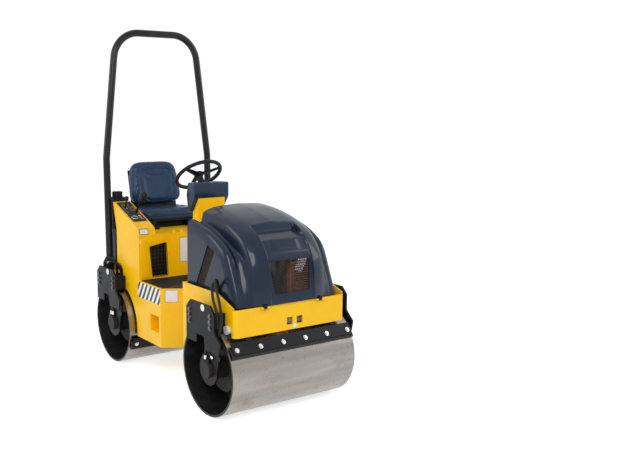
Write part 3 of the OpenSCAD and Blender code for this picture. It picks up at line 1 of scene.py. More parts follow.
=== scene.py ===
"""Dresses the ride-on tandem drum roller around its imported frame.

Lengths in the classes are millimetres in the machine's frame: front is -Y, up is +Z and the
visible side is -X. They become metres only where a mesh is closed.
"""

import logging
import math
from dataclasses import dataclass, replace
from enum import Enum
from typing import Callable, Iterable, Sequence

import bmesh
import bpy
import numpy as np
from bpy.types import Material, Mesh, Node, NodeSocket, NodeTree, Object, World
from mathutils import Matrix, Vector
from mathutils.bvhtree import BVHTree


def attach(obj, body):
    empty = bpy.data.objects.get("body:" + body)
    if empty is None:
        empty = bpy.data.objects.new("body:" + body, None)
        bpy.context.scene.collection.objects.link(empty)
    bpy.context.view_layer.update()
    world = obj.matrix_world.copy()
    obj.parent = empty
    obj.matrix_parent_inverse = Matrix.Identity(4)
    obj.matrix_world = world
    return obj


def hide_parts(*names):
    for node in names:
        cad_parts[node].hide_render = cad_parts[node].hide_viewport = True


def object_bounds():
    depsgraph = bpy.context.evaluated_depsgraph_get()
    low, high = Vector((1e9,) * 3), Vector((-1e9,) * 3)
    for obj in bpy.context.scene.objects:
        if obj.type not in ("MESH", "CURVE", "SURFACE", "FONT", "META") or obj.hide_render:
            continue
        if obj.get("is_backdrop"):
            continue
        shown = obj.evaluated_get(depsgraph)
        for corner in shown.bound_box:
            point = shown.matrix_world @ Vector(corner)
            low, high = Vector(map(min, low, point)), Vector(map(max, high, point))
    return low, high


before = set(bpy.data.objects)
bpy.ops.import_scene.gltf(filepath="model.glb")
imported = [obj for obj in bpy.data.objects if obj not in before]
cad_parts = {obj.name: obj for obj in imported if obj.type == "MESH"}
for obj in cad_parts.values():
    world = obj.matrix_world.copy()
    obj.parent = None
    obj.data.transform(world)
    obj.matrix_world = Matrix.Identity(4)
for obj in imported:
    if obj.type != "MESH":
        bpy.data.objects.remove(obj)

CAD_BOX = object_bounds()
MM = 0.001
AXLE_Y = 647.5
ARM_X = 496.0
SEAM_STEPS = 96
LOG = logging.getLogger("roller")

Point = Sequence[float]
Colour = tuple[float, float, float]


class Body(str, Enum):
    """Bodies of the machine that a piece can ride on."""

    REAR = "rear_chassis"
    FRONT = "front_chassis"
    HOOD = "hood"
    WHEEL = "steering_wheel"
    SEAT = "seat"


class Axis(Enum):
    """Direction in which an outline is given depth, with the two axes of its plane."""

    X = (0, 1, 2)
    Y = (1, 0, 2)
    Z = (2, 0, 1)


# Node trees


@dataclass
class Tree:
    """A node tree with short ways to add nodes, sockets and links."""

    nodes_of: NodeTree

    @classmethod
    def group(cls, name: str, kind: str) -> "Tree":
        """Starts a new node group of that kind."""
        return cls(bpy.data.node_groups.new(name, kind))

    @classmethod
    def on(cls, owner: Material | World) -> "Tree":
        """Starts an empty node tree on a material or a world.

        Args:
            owner: The material or world.

        Returns:
            Its tree.
        """
        owner.use_nodes = True
        owner.node_tree.nodes.clear()
        return cls(owner.node_tree)

    def socket(self, name: str, kind: str, value: float | None = None, out: bool = False) -> str:
        """Adds a socket to the group.

        Args:
            name: What the socket is called.
            kind: Socket type, such as NodeSocketFloat.
            value: Default of an input.
            out: True for an output.

        Returns:
            The socket's identifier.
        """
        way = "OUTPUT" if out else "INPUT"
        made = self.nodes_of.interface.new_socket(name, in_out=way, socket_type=kind)
        if value is not None:
            made.default_value = value
        return made.identifier

    def add(self, kind: str, values: dict | None = None, **settings: object) -> Node:
        """Adds a node.

        Args:
            kind: The node's type name.
            values: Input name or number to a value, or to a socket that feeds it.
            settings: Properties of the node.

        Returns:
            The node.
        """
        made = self.nodes_of.nodes.new(kind)
        for name, value in settings.items():
            setattr(made, name, value)
        for name, value in (values or {}).items():
            self.feed(made.inputs[name], value)
        return made

    def math(self, operation: str, *values: object, clamp: bool = False) -> NodeSocket:
        """Adds a Math node on values or sockets and returns its result.

        Args:
            operation: The sum to do.
            values: Numbers or sockets.
            clamp: True to hold the result in 0 to 1.

        Returns:
            The result.
        """
        made = self.add("ShaderNodeMath", dict(enumerate(values)), operation=operation)
        made.use_clamp = clamp
        return made.outputs[0]

    def link(self, source: NodeSocket, target: NodeSocket) -> None:
        """Joins two sockets."""
        self.nodes_of.links.new(source, target)

    def feed(self, target: NodeSocket, value: object) -> None:
        """Joins an input to a socket, or sets it to a plain value.

        Args:
            target: The input.
            value: Value, or socket that feeds it.
        """
        if isinstance(value, NodeSocket):
            self.link(value, target)
        else:
            target.default_value = value


# Shader groups that several finishes share


def shader_group(name: str, values: dict[str, float], *outs: str) -> Tree:
    """Starts a shader group that works from a place.

    Args:
        name: The group's name.
        values: Named values with their defaults.
        outs: Names of the values that it puts out.

    Returns:
        The group's tree.
    """
    tree = Tree.group(name, "ShaderNodeTree")
    for value, usual in values.items():
        tree.socket(value, "NodeSocketFloat", usual)
    tree.socket("Place", "NodeSocketVector")
    for out in outs:
        tree.socket(out, "NodeSocketFloat", out=True)
    return tree


def patch_group() -> NodeTree:
    """Soft-edged patches: a mask from noise over the object's own coordinates.

    Returns:
        The group, which puts out a mask.
    """
    tree = shader_group("soft patches", {"Scale": 6.0, "Detail": 5.0, "Low": 0.4, "High": 0.7}, "Mask")
    given = tree.add("NodeGroupInput").outputs
    cloud = tree.add("ShaderNodeTexNoise", {"Vector": given["Place"], "Scale": given["Scale"],
                                            "Detail": given["Detail"], "Roughness": 0.62})
    ramp = tree.add("ShaderNodeMapRange", {"Value": cloud.outputs[0], "From Min": given["Low"],
                                           "From Max": given["High"]}, interpolation_type="SMOOTHSTEP")
    tree.add("NodeGroupOutput", {"Mask": ramp.outputs[0]})
    return tree.nodes_of


def grain_group() -> NodeTree:
    """Fine surface grain: cells for moulded or leather grain, mixed with noise.

    Returns:
        The group, which puts out a height.
    """
    tree = shader_group("surface grain", {"Scale": 900.0, "Cells": 0.5}, "Height")
    given = tree.add("NodeGroupInput").outputs
    cells = tree.add("ShaderNodeTexVoronoi", {"Vector": given["Place"], "Scale": given["Scale"]})
    cloud = tree.add("ShaderNodeTexNoise", {"Vector": given["Place"], "Scale": given["Scale"],
                                            "Detail": 3.0})
    cell_part = tree.math("MULTIPLY", cells.outputs["Distance"], given["Cells"])
    rest = tree.math("SUBTRACT", 1.0, given["Cells"])
    height = tree.math("ADD", cell_part, tree.math("MULTIPLY", cloud.outputs[0], rest))
    tree.add("NodeGroupOutput", {"Height": height})
    return tree.nodes_of


def dust_group() -> NodeTree:
    """Dust that gathers low on the machine and on faces that look up.

    Returns:
        The group, which puts out a mask.
    """
    tree = shader_group("settled dust", {"Amount": 0.3, "Reach": 0.5}, "Mask")
    given = tree.add("NodeGroupInput").outputs
    up = tree.add("ShaderNodeSeparateXYZ", {0: tree.add("ShaderNodeNewGeometry").outputs["Normal"]})
    high = tree.add("ShaderNodeSeparateXYZ", {0: given["Place"]})
    low = tree.add("ShaderNodeMapRange", {"Value": high.outputs["Z"], "From Min": given["Reach"],
                                          "From Max": 0.0})
    flat = tree.add("ShaderNodeMapRange", {"Value": up.outputs["Z"], "From Min": 0.5, "From Max": 1.0,
                                           "To Max": 0.5})
    cloud = tree.add("ShaderNodeTexNoise", {"Vector": given["Place"], "Scale": 14.0, "Detail": 8.0,
                                            "Roughness": 0.7})
    both = tree.math("ADD", low.outputs[0], flat.outputs[0])
    spread = tree.add("ShaderNodeMapRange", {"Value": cloud.outputs[0], "From Min": 0.38,
                                             "From Max": 0.72})
    mask = tree.math("MULTIPLY", tree.math("MULTIPLY", both, spread.outputs[0]), given["Amount"],
                     clamp=True)
    tree.add("NodeGroupOutput", {"Mask": mask})
    return tree.nodes_of


def streak_group() -> NodeTree:
    """Marks that run round a roller whose axle lies along X: a mask and the distance from the axle.

    Returns:
        The group, with its mask, radius and unrolled place.
    """
    tree = shader_group("rolling streaks", {"Axle Y": 0.0, "Axle Z": 0.28, "Across": 300.0, "Along": 2.0},
                        "Mask", "Radius")
    tree.socket("Unrolled", "NodeSocketVector", out=True)
    given = tree.add("NodeGroupInput").outputs
    at = tree.add("ShaderNodeSeparateXYZ", {0: given["Place"]}).outputs
    y = tree.math("SUBTRACT", at["Y"], given["Axle Y"])
    z = tree.math("SUBTRACT", at["Z"], given["Axle Z"])
    radius = tree.math("SQRT", tree.math("ADD", tree.math("POWER", y, 2.0), tree.math("POWER", z, 2.0)))
    turn = tree.math("ARCTAN2", y, z)
    across = tree.math("MULTIPLY", at["X"], given["Across"])
    along = tree.math("MULTIPLY", turn, given["Along"])
    flat = tree.add("ShaderNodeCombineXYZ", {"X": across, "Y": along, "Z": radius})
    cloud = tree.add("ShaderNodeTexNoise", {"Vector": flat.outputs[0], "Scale": 1.0, "Detail": 4.0})
    arc = tree.add("ShaderNodeCombineXYZ", {"X": at["X"], "Y": tree.math("MULTIPLY", turn, 0.28),
                                            "Z": radius})
    tree.add("NodeGroupOutput", {"Mask": cloud.outputs[0], "Radius": radius,
                                 "Unrolled": arc.outputs[0]})
    return tree.nodes_of


PATCHES = patch_group()
GRAIN = grain_group()
DUST = dust_group()
STREAKS = streak_group()


# Finishes


@dataclass(frozen=True)
class Finish:
    """A painted, moulded or metal finish: two tones in soft patches, grain and dust."""

    name: str
    slot: str
    tone: Colour
    patch_tone: Colour
    rough: tuple[float, float]
    metallic: float = 0.0
    coat: float = 0.0
    coat_rough: float = 0.1
    specular: float = 0.5
    sheen: float = 0.0
    patch_scale: float = 9.0
    grain_scale: float = 700.0
    cells: float = 0.3
    bump: float = 0.12
    bump_mm: float = 0.3
    dust: float = 0.12
    dust_tone: Colour = (0.42, 0.38, 0.32)
    dust_reach: float = 0.6
    dust_rough: float = 0.4
    patch_low: float = 0.42
    patch_high: float = 0.7

    def start(self) -> tuple[Material, Tree, Node, NodeSocket]:
        """Makes the material with its shader and the object's coordinates.

        Returns:
            The material, its tree, its shader and the coordinate socket.
        """
        made = bpy.data.materials.new(self.name)
        made.diffuse_color = (*self.tone, 1.0)
        tree = Tree.on(made)
        shader = tree.add("ShaderNodeBsdfPrincipled", {
            "Metallic": self.metallic, "Coat Weight": self.coat, "Coat Roughness": self.coat_rough,
            "Specular IOR Level": self.specular, "Sheen Weight": self.sheen})
        tree.add("ShaderNodeOutputMaterial", {"Surface": shader.outputs[0]})
        place = tree.add("ShaderNodeTexCoord").outputs["Object"]
        return made, tree, shader, place

    def mix(self, tree: Tree, mask: NodeSocket, low: object, high: object) -> NodeSocket:
        """Mixes two colours, or colour sockets, by a mask.

        Args:
            tree: The tree.
            mask: 0 for low, 1 for high.
            low: Colour or socket.
            high: Colour or socket.

        Returns:
            The mixed colour.
        """
        made = tree.add("ShaderNodeMix", {0: mask}, data_type="RGBA")
        for number, tone in ((6, low), (7, high)):
            tree.feed(made.inputs[number], tone if isinstance(tone, NodeSocket) else (*tone, 1.0))
        return made.outputs[2]

    def group(self, tree: Tree, which: NodeTree, **values: object) -> Node:
        """Places a shared group with its own values, underscores standing for spaces.

        Args:
            tree: The tree.
            which: The shared group.
            values: Values or sockets by input name.

        Returns:
            The placed node.
        """
        made = tree.add("ShaderNodeGroup", node_tree=which)
        for name, value in values.items():
            tree.feed(made.inputs[name.replace("_", " ")], value)
        return made

    def level(self, tree: Tree, mask: NodeSocket) -> NodeSocket:
        """Runs the roughness from its low to its high value by a mask."""
        return tree.add("ShaderNodeMapRange", {"Value": mask, "To Min": self.rough[0],
                                               "To Max": self.rough[1]}).outputs[0]

    def lift(self, tree: Tree, shader: Node, height: NodeSocket) -> None:
        """Feeds a height to the shader's normal."""
        bump = tree.add("ShaderNodeBump", {"Strength": self.bump, "Distance": self.bump_mm * MM,
                                           "Height": height})
        tree.link(bump.outputs[0], shader.inputs["Normal"])

    def build(self) -> Material:
        """Makes the material.

        Returns:
            The material.
        """
        made, tree, shader, place = self.start()
        patches = self.group(tree, PATCHES, Scale=self.patch_scale, Low=self.patch_low,
                             High=self.patch_high, Place=place)
        grain = self.group(tree, GRAIN, Scale=self.grain_scale, Cells=self.cells, Place=place)
        dust = self.group(tree, DUST, Amount=self.dust, Reach=self.dust_reach, Place=place)
        paint = self.mix(tree, patches.outputs[0], self.tone, self.patch_tone)
        tree.link(self.mix(tree, dust.outputs[0], paint, self.dust_tone), shader.inputs["Base Color"])
        total = tree.math("ADD", self.level(tree, patches.outputs[0]),
                          tree.math("MULTIPLY", dust.outputs[0], self.dust_rough), clamp=True)
        tree.link(total, shader.inputs["Roughness"])
        self.lift(tree, shader, grain.outputs[0])
        return made


@dataclass(frozen=True)
class DrumFinish(Finish):
    """Rolled steel on the working face, with painted reflection bands along the axle, and black paint on
    everything inside it.
    """

    axle_y: float = 0.0
    face: float = 278.6
    inner_tone: Colour = (0.005, 0.005, 0.0055)
    dirt_tone: Colour = (0.035, 0.033, 0.030)
    stain_tone: Colour = (0.27, 0.23, 0.18)
    spot_tone: Colour = (0.10, 0.08, 0.06)
    stain_share: float = 0.55
    spot_share: float = 0.5
    dirt_share: float = 0.35
    streak_rough: float = 0.16
    inner_rough: float = 0.22
    pit_depth: float = 0.6

    def build(self) -> Material:
        """Makes the material.

        Returns:
            The material.
        """
        made, tree, shader, place = self.start()
        fine = self.group(tree, STREAKS, Axle_Y=self.axle_y * MM, Across=260.0, Along=1.2, Place=place)
        # Broad bands along the axle, from a noise that changes round the drum, run the steel between its two
        # tones: painted reflection of bright and dark surroundings.
        reflection_bands = self.group(tree, STREAKS, Axle_Y=self.axle_y * MM, Across=2.6, Along=7.0, Place=place)
        spread = fine.outputs["Unrolled"]
        stains = self.group(tree, PATCHES, Scale=9.0, Detail=7.0, Low=0.5, High=0.72, Place=spread)
        spots = self.group(tree, PATCHES, Scale=46.0, Detail=4.0, Low=0.62, High=0.72, Place=spread)
        steel = self.mix(tree, reflection_bands.outputs["Mask"], self.tone, self.patch_tone)
        steel = self.mix(tree, tree.math("MULTIPLY", stains.outputs[0], self.stain_share), steel,
                         self.stain_tone)
        steel = self.mix(tree, tree.math("MULTIPLY", spots.outputs[0], self.spot_share), steel,
                         self.spot_tone)
        outside = tree.math("GREATER_THAN", fine.outputs["Radius"], self.face * MM)
        dusty = self.group(tree, PATCHES, Scale=16.0, Detail=6.0, Low=0.45, High=0.8, Place=place)
        inner = self.mix(tree, tree.math("MULTIPLY", dusty.outputs[0], self.dirt_share),
                         self.inner_tone, self.dirt_tone)
        tree.link(self.mix(tree, outside, inner, steel), shader.inputs["Base Color"])
        tree.link(outside, shader.inputs["Metallic"])
        streaky = tree.math("ADD", self.level(tree, stains.outputs[0]),
                            tree.math("MULTIPLY", fine.outputs["Mask"], self.streak_rough))
        inside = tree.math("MULTIPLY", tree.math("SUBTRACT", 1.0, outside), self.inner_rough)
        tree.link(tree.math("ADD", streaky, inside), shader.inputs["Roughness"])
        pits = tree.math("SUBTRACT", fine.outputs["Mask"],
                         tree.math("MULTIPLY", spots.outputs[0], self.pit_depth))
        self.lift(tree, shader, pits)
        return made


@dataclass(frozen=True)
class StripeFinish(Finish):
    """Slanted black and pale stripes on a plate that faces sideways."""

    pitch: float = 54.0
    slant: float = 0.62
    scuff_share: float = 0.35

    def build(self) -> Material:
        """Makes the material.

        Returns:
            The material.
        """
        made, tree, shader, place = self.start()
        at = tree.add("ShaderNodeSeparateXYZ", {0: place}).outputs
        run = tree.math("ADD", at["Y"], tree.math("MULTIPLY", at["Z"], self.slant))
        phase = tree.math("FRACT", tree.math("DIVIDE", run, self.pitch * MM))
        dark = tree.math("GREATER_THAN", phase, 0.5)
        scuffs = self.group(tree, PATCHES, Scale=40.0, Detail=6.0, Low=0.55, High=0.75, Place=place)
        film = self.mix(tree, dark, self.tone, self.patch_tone)
        scuffed = self.mix(tree, tree.math("MULTIPLY", scuffs.outputs[0], self.scuff_share), film,
                          self.dust_tone)
        tree.link(scuffed, shader.inputs["Base Color"])
        tree.link(self.level(tree, scuffs.outputs[0]), shader.inputs["Roughness"])
        grain = self.group(tree, GRAIN, Scale=self.grain_scale, Cells=self.cells, Place=place)
        self.lift(tree, shader, grain.outputs[0])
        return made


YELLOW = Finish("yellow_enamel", "yellow_paint", (1.0, 0.57, 0.0), (0.96, 0.52, 0.001), (0.34, 0.44),
                coat=0.15, coat_rough=0.1, specular=0.25, patch_scale=5.0, grain_scale=260.0, cells=0.0,
                bump=0.06, dust=0.035, dust_tone=(0.62, 0.42, 0.12))
BLACK = Finish("black_powder_coat", "black_paint", (0.006, 0.0065, 0.009), (0.011, 0.0115, 0.014),
               (0.36, 0.5), specular=0.14, grain_scale=1100.0, cells=0.1, bump=0.18, dust=0.03)
TUBE_BLACK = Finish("black_hoop_enamel", "black_paint", (0.006, 0.007, 0.010), (0.011, 0.012, 0.016),
                    (0.24, 0.36), coat=0.15, coat_rough=0.14, specular=0.2, grain_scale=240.0, cells=0.0,
                    bump=0.06, dust=0.03)
GREY = Finish("heat_proof_grey", "grey_paint", (0.17, 0.17, 0.16), (0.22, 0.13, 0.08), (0.5, 0.75),
              metallic=0.4, patch_scale=22.0, grain_scale=600.0, bump=0.3, dust=0.3)
PLATED = Finish("zinc_plate", "plated_steel", (0.70, 0.70, 0.69), (0.55, 0.54, 0.50), (0.22, 0.4),
                metallic=1.0, patch_scale=90.0, grain_scale=900.0, cells=0.0, bump=0.1, dust=0.1)
OXIDE = Finish("dark_zinc_plate", "plated_steel", (0.13, 0.13, 0.13), (0.09, 0.088, 0.085), (0.3, 0.45),
               metallic=1.0, patch_scale=90.0, grain_scale=900.0, cells=0.0, bump=0.1, dust=0.1)
CHROME = Finish("hard_chrome", "rod_chrome", (0.80, 0.81, 0.82), (0.74, 0.75, 0.77), (0.06, 0.14),
                metallic=1.0, grain_scale=900.0, cells=0.0, bump=0.03, dust=0.02)
CAST = Finish("cast_iron_black", "cast_iron", (0.010, 0.010, 0.011), (0.026, 0.021, 0.017), (0.55, 0.8),
              specular=0.25, patch_scale=30.0, grain_scale=420.0, cells=0.5, bump=0.5, bump_mm=0.8,
              dust=0.12)
ALLOY = Finish("engine_castings", "engine_alloy", (0.52, 0.52, 0.51), (0.34, 0.33, 0.31), (0.34, 0.6),
               metallic=0.85, patch_scale=26.0, grain_scale=520.0, cells=0.4, bump=0.4, bump_mm=0.6,
               dust=0.25)
COOLER = Finish("primed_cooler", "cooler_paint", (0.62, 0.17, 0.018), (0.42, 0.10, 0.012), (0.4, 0.62),
                patch_scale=24.0, grain_scale=500.0, bump=0.3, dust=0.25)
RUBBER = Finish("black_hose_rubber", "black_rubber", (0.007, 0.007, 0.0075), (0.016, 0.0155, 0.015),
                (0.5, 0.7), specular=0.25, grain_scale=1300.0, cells=0.6, bump=0.35, dust=0.12)
# The hood's and the dash's plastic is black-grey; the navy in their tones is painted blue sky reflection.
HOOD = Finish("moulded_hood", "hood_plastic", (0.003, 0.012, 0.031), (0.0045, 0.016, 0.038), (0.36, 0.46),
              coat=0.45, coat_rough=0.12, specular=0.1, patch_scale=3.0, grain_scale=1500.0, cells=0.8,
              bump=0.1, dust=0.05, dust_tone=(0.20, 0.20, 0.20))
DASH = replace(HOOD, name="moulded_dash", slot="black_plastic", tone=(0.010, 0.030, 0.065))
MESH = Finish("coated_wire_mesh", "black_mesh", (0.010, 0.010, 0.010), (0.02, 0.02, 0.02), (0.3, 0.45),
              grain_scale=900.0, bump=0.1, dust=0.1)
PLASTIC = Finish("satin_moulding", "black_plastic", (0.005, 0.008, 0.015), (0.009, 0.012, 0.020),
                 (0.38, 0.5), specular=0.18, grain_scale=1500.0, cells=0.8, bump=0.2, dust=0.05)
WHITE = Finish("milky_plastic", "white_plastic", (0.78, 0.78, 0.74), (0.68, 0.67, 0.60), (0.35, 0.5),
               grain_scale=900.0, bump=0.1, dust=0.2)
RED = Finish("red_button", "red_plastic", (0.62, 0.018, 0.014), (0.52, 0.014, 0.012), (0.25, 0.35),
             coat=0.4, grain_scale=1200.0, bump=0.06)
VINYL = Finish("seat_vinyl_hide", "seat_vinyl", (0.008, 0.032, 0.080), (0.011, 0.038, 0.092),
               (0.34, 0.46), coat=0.12, coat_rough=0.3, specular=0.2, sheen=0.02, patch_scale=11.0,
               grain_scale=620.0, cells=0.9, bump=0.42, bump_mm=0.35, dust=0.03)
THREAD = Finish("seat_thread", "seat_vinyl", (0.02, 0.026, 0.042), (0.03, 0.036, 0.05), (0.55, 0.7),
                grain_scale=3000.0, bump=0.2)
# The drums' two steel tones are the light and the dark of their painted reflection bands.
FRONT_STEEL = DrumFinish("front_rolled_steel", "drum_steel", (0.40, 0.37, 0.33), (0.19, 0.185, 0.18),
                         (0.17, 0.36), metallic=1.0, bump=0.22, bump_mm=0.25, axle_y=-AXLE_Y)
REAR_STEEL = replace(FRONT_STEEL, name="rear_rolled_steel", axle_y=AXLE_Y)
STRIPES = StripeFinish("striped_film", "white_plastic", (0.86, 0.86, 0.84), (0.012, 0.012, 0.012),
                       (0.3, 0.5), bump=0.05)
BLANK = Finish("blank_plate", "white_plastic", (0.80, 0.81, 0.80), (0.72, 0.73, 0.72), (0.3, 0.42),
               patch_scale=40.0, grain_scale=900.0, bump=0.04, dust=0.1)
RIM = Finish("plate_border", "black_plastic", (0.20, 0.20, 0.20), (0.14, 0.14, 0.14), (0.4, 0.5),
             grain_scale=900.0, bump=0.04)

NODE_FINISH = {
    YELLOW: ("rear_frame", "seat_base", "right_console", "dash_column", "front_frame"),
    BLACK: ("rops_brackets", "rear_arm_right", "rear_arm_left", "front_arm_right", "front_arm_left",
            "rear_scraper_bar", "front_scraper_bar", "seat_rails", "centre_yoke"),
    TUBE_BLACK: ("rops_hoop",),
    GREY: ("muffler",),
    PLATED: ("rear_bolts", "front_bolts", "articulation_pin", "yoke_nut", "ignition_key",
             "exciter_bearings"),
    CHROME: ("steer_rod",),
    CAST: ("rear_drive_motor", "front_drive_motor", "vibration_motor", "steer_barrel",
           "rear_drive_disc", "front_drive_disc", "exciter_shaft", "hydraulic_pump"),
    ALLOY: ("engine_block",),
    COOLER: ("oil_cooler",),
    RUBBER: ("floor_mat", "rear_hoses", "front_hoses", "rear_scraper_blade", "front_scraper_blade"),
    MESH: ("hood_grilles", "seat_base_grille"),
    PLASTIC: ("console_trim", "steering_column", "water_tank", "battery", "air_filter",
              "engine_fan", "steering_wheel", "travel_lever", "throttle_lever", "seat_pan",
              "tank_cap"),
    WHITE: ("spray_bar", "fuel_tank"),
    RED: ("horn_button",),
    HOOD: ("hood_shell",),
    DASH: ("dash_box",),
    VINYL: ("seat_cushion", "seat_back"),
    FRONT_STEEL: ("front_drum",),
    REAR_STEEL: ("rear_drum",),
}


class Paintshop:
    """Keeps one material for each finish and puts them on the CAD nodes."""

    def __init__(self) -> None:
        """Starts with no material made."""
        self.made: dict[Finish, Material] = {}

    def of(self, finish: Finish) -> Material:
        """Gives the material of a finish, making it the first time.

        Args:
            finish: The finish.

        Returns:
            Its material.
        """
        if finish not in self.made:
            self.made[finish] = finish.build()
        return self.made[finish]

    def dress_nodes(self) -> None:
        """Gives every CAD node its finish."""
        for finish, names in NODE_FINISH.items():
            for name in names:
                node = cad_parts[name]
                if not node.material_slots:
                    node.data.materials.append(self.of(finish))
                for slot in node.material_slots:
                    slot.material = self.of(finish)
        LOG.info("dressed %d CAD nodes", sum(len(names) for names in NODE_FINISH.values()))


PAINT = Paintshop()


# Mesh building


def settle(x: float, low: float, high: float) -> float:
    """Runs smoothly from 0 at low to 1 at high."""
    share = min(max((x - low) / (high - low), 0.0), 1.0)
    return share * share * (3 - 2 * share)


def smooth_run(xs: Sequence[float], ys: Sequence[float], at: np.ndarray) -> np.ndarray:
    """Interpolates a table without overshoot.

    Args:
        xs: Places of the table, rising.
        ys: Its values.
        at: Places to read.

    Returns:
        Values of a monotone cubic through the table.
    """
    x, y = np.asarray(xs, float), np.asarray(ys, float)
    step = np.diff(x)
    rise = np.diff(y) / step
    slope = np.empty(len(x))
    slope[0], slope[-1] = rise[0], rise[-1]
    for i in range(1, len(x) - 1):
        if rise[i - 1] * rise[i] <= 0:
            slope[i] = 0.0
        else:
            a, b = 2 * step[i] + step[i - 1], step[i] + 2 * step[i - 1]
            slope[i] = (a + b) / (a / rise[i - 1] + b / rise[i])
    k = np.clip(np.searchsorted(x, at, side="right") - 1, 0, len(x) - 2)
    t = (at - x[k]) / step[k]
    return (y[k] * (1 + 2 * t) * (1 - t) ** 2 + slope[k] * step[k] * t * (1 - t) ** 2
            + y[k + 1] * t * t * (3 - 2 * t) + slope[k + 1] * step[k] * t * t * (t - 1))


def rounded(corners: Sequence[Point], radius: float, steps: int = 5) -> list[Vector]:
    """Rounds an outline's corners.

    Args:
        corners: The outline's corners, in order.
        radius: Corner radius, held back where a side is too short.
        steps: Facets in each corner.

    Returns:
        The outline's points.
    """
    out, n = [], len(corners)
    for i in range(n):
        p, c, q = (Vector(corners[(i + k) % n]) for k in (-1, 0, 1))
        a, b = (p - c).normalized(), (q - c).normalized()
        turn = a.angle(b) / 2
        reach = min(radius / max(math.tan(turn), 1e-6), (p - c).length / 2.05, (q - c).length / 2.05)
        start, end = c + a * reach, c + b * reach
        for k in range(steps + 1):
            t = k / steps
            out.append(start * (1 - t) ** 2 + c * 2 * t * (1 - t) + end * t * t)
    return out


def linked(name: str, mesh: Mesh) -> Object:
    """Puts a mesh into the scene as an object at the origin.

    Args:
        name: Name of the object.
        mesh: Its mesh.

    Returns:
        The object, in the scene.
    """
    made = bpy.data.objects.new(name, mesh)
    bpy.context.scene.collection.objects.link(made)
    return made


def baked(obj: Object) -> Object:
    """Turns an object's modifiers into its plain mesh.

    Args:
        obj: An object with modifiers.

    Returns:
        The same object, with their result as its mesh.
    """
    graph = bpy.context.evaluated_depsgraph_get()
    mesh = bpy.data.meshes.new_from_object(obj.evaluated_get(graph), depsgraph=graph)
    obj.modifiers.clear()
    obj.data = mesh
    return obj


class Shape:
    """A mesh being built in millimetres, closed and handed over as one piece."""

    def __init__(self) -> None:
        """Starts empty."""
        self.bm = bmesh.new()

    def loops(self, rings: Sequence[Sequence[Point]], capped: bool = True) -> "Shape":
        """Joins rings of equal length into a skin.

        Args:
            rings: Closed rings of points, in order.
            capped: True to close both ends.

        Returns:
            This shape.
        """
        made = [[self.bm.verts.new(p) for p in ring] for ring in rings]
        n = len(made[0])
        for low, high in zip(made, made[1:]):
            for k in range(n):
                self.bm.faces.new((low[k], low[(k + 1) % n], high[(k + 1) % n], high[k]))
        if capped:
            self.bm.faces.new(tuple(reversed(made[0])))
            self.bm.faces.new(tuple(made[-1]))
        return self

    def slab(self, outline: Sequence[Point], start: float, depth: float, axis: Axis = Axis.X) -> "Shape":
        """Gives an outline depth along an axis, from start.

        Args:
            outline: Points in the plane across the axis.
            start: Where it starts on the axis.
            depth: Its depth.
            axis: The axis.

        Returns:
            This shape.
        """
        a, u, v = axis.value
        rings = []
        for level in (start, start + depth):
            ring = []
            for p in outline:
                at = [0.0, 0.0, 0.0]
                at[a], at[u], at[v] = level, p[0], p[1]
                ring.append(at)
            rings.append(ring)
        return self.loops(rings)

    def box(self, low: Point, high: Point) -> "Shape":
        """Adds a box between two corners."""
        return self.slab([(low[0], low[1]), (high[0], low[1]), (high[0], high[1]), (low[0], high[1])],
                         low[2], high[2] - low[2], Axis.Z)

    def lathe(self, profile: Sequence[Point], centre: Point, axis: Axis, steps: int = 48) -> "Shape":
        """Turns a profile of radius and distance along the axis.

        Args:
            profile: Radius and distance pairs, the end ones capped.
            centre: Where distance 0 lies on the axis.
            axis: The axis.
            steps: Facets round it.

        Returns:
            This shape.
        """
        a, u, v = axis.value
        rings = []
        for radius, along in profile:
            ring = []
            for k in range(steps):
                turn = 2 * math.pi * k / steps
                at = list(centre)
                at[a] += along
                at[u] += radius * math.cos(turn)
                at[v] += radius * math.sin(turn)
                ring.append(at)
            rings.append(ring)
        return self.loops(rings)

    def grid(self, points: np.ndarray) -> "Shape":
        """Adds an open skin over rows and columns of points.

        Args:
            points: Rows of points.

        Returns:
            This shape.
        """
        made = [[self.bm.verts.new(p) for p in row] for row in points]
        for low, high in zip(made, made[1:]):
            for k in range(len(low) - 1):
                self.bm.faces.new((low[k], low[k + 1], high[k + 1], high[k]))
        return self

    def join(self, part: "Shape", place: Matrix) -> None:
        """Adds another shape, moved to its place.

        Args:
            part: The shape, used up by this.
            place: Where it goes.
        """
        part.bm.transform(place)
        mesh = bpy.data.meshes.new("part")
        part.bm.to_mesh(mesh)
        part.bm.free()
        self.bm.from_mesh(mesh)
        bpy.data.meshes.remove(mesh)

    def close(self, name: str) -> Object:
        """Makes the object in metres, with its doubles merged and its faces outwards.

        Args:
            name: Name of the object.

        Returns:
            The object.
        """
        bmesh.ops.remove_doubles(self.bm, verts=self.bm.verts, dist=0.01)
        bmesh.ops.recalc_face_normals(self.bm, faces=self.bm.faces)
        bmesh.ops.scale(self.bm, vec=(MM,) * 3, verts=self.bm.verts)
        mesh = bpy.data.meshes.new(name)
        self.bm.to_mesh(mesh)
        self.bm.free()
        return linked(name, mesh)


def carve(obj: Object, cutter: Object) -> Object:
    """Cuts one closed object out of another and removes the cutter.

    Args:
        obj: The piece that is cut.
        cutter: What is cut away, removed afterwards.

    Returns:
        The piece.
    """
    cut = obj.modifiers.new("cut", "BOOLEAN")
    cut.object, cut.operation, cut.solver = cutter, "DIFFERENCE", "EXACT"
    baked(obj)
    bpy.data.objects.remove(cutter)
    return obj


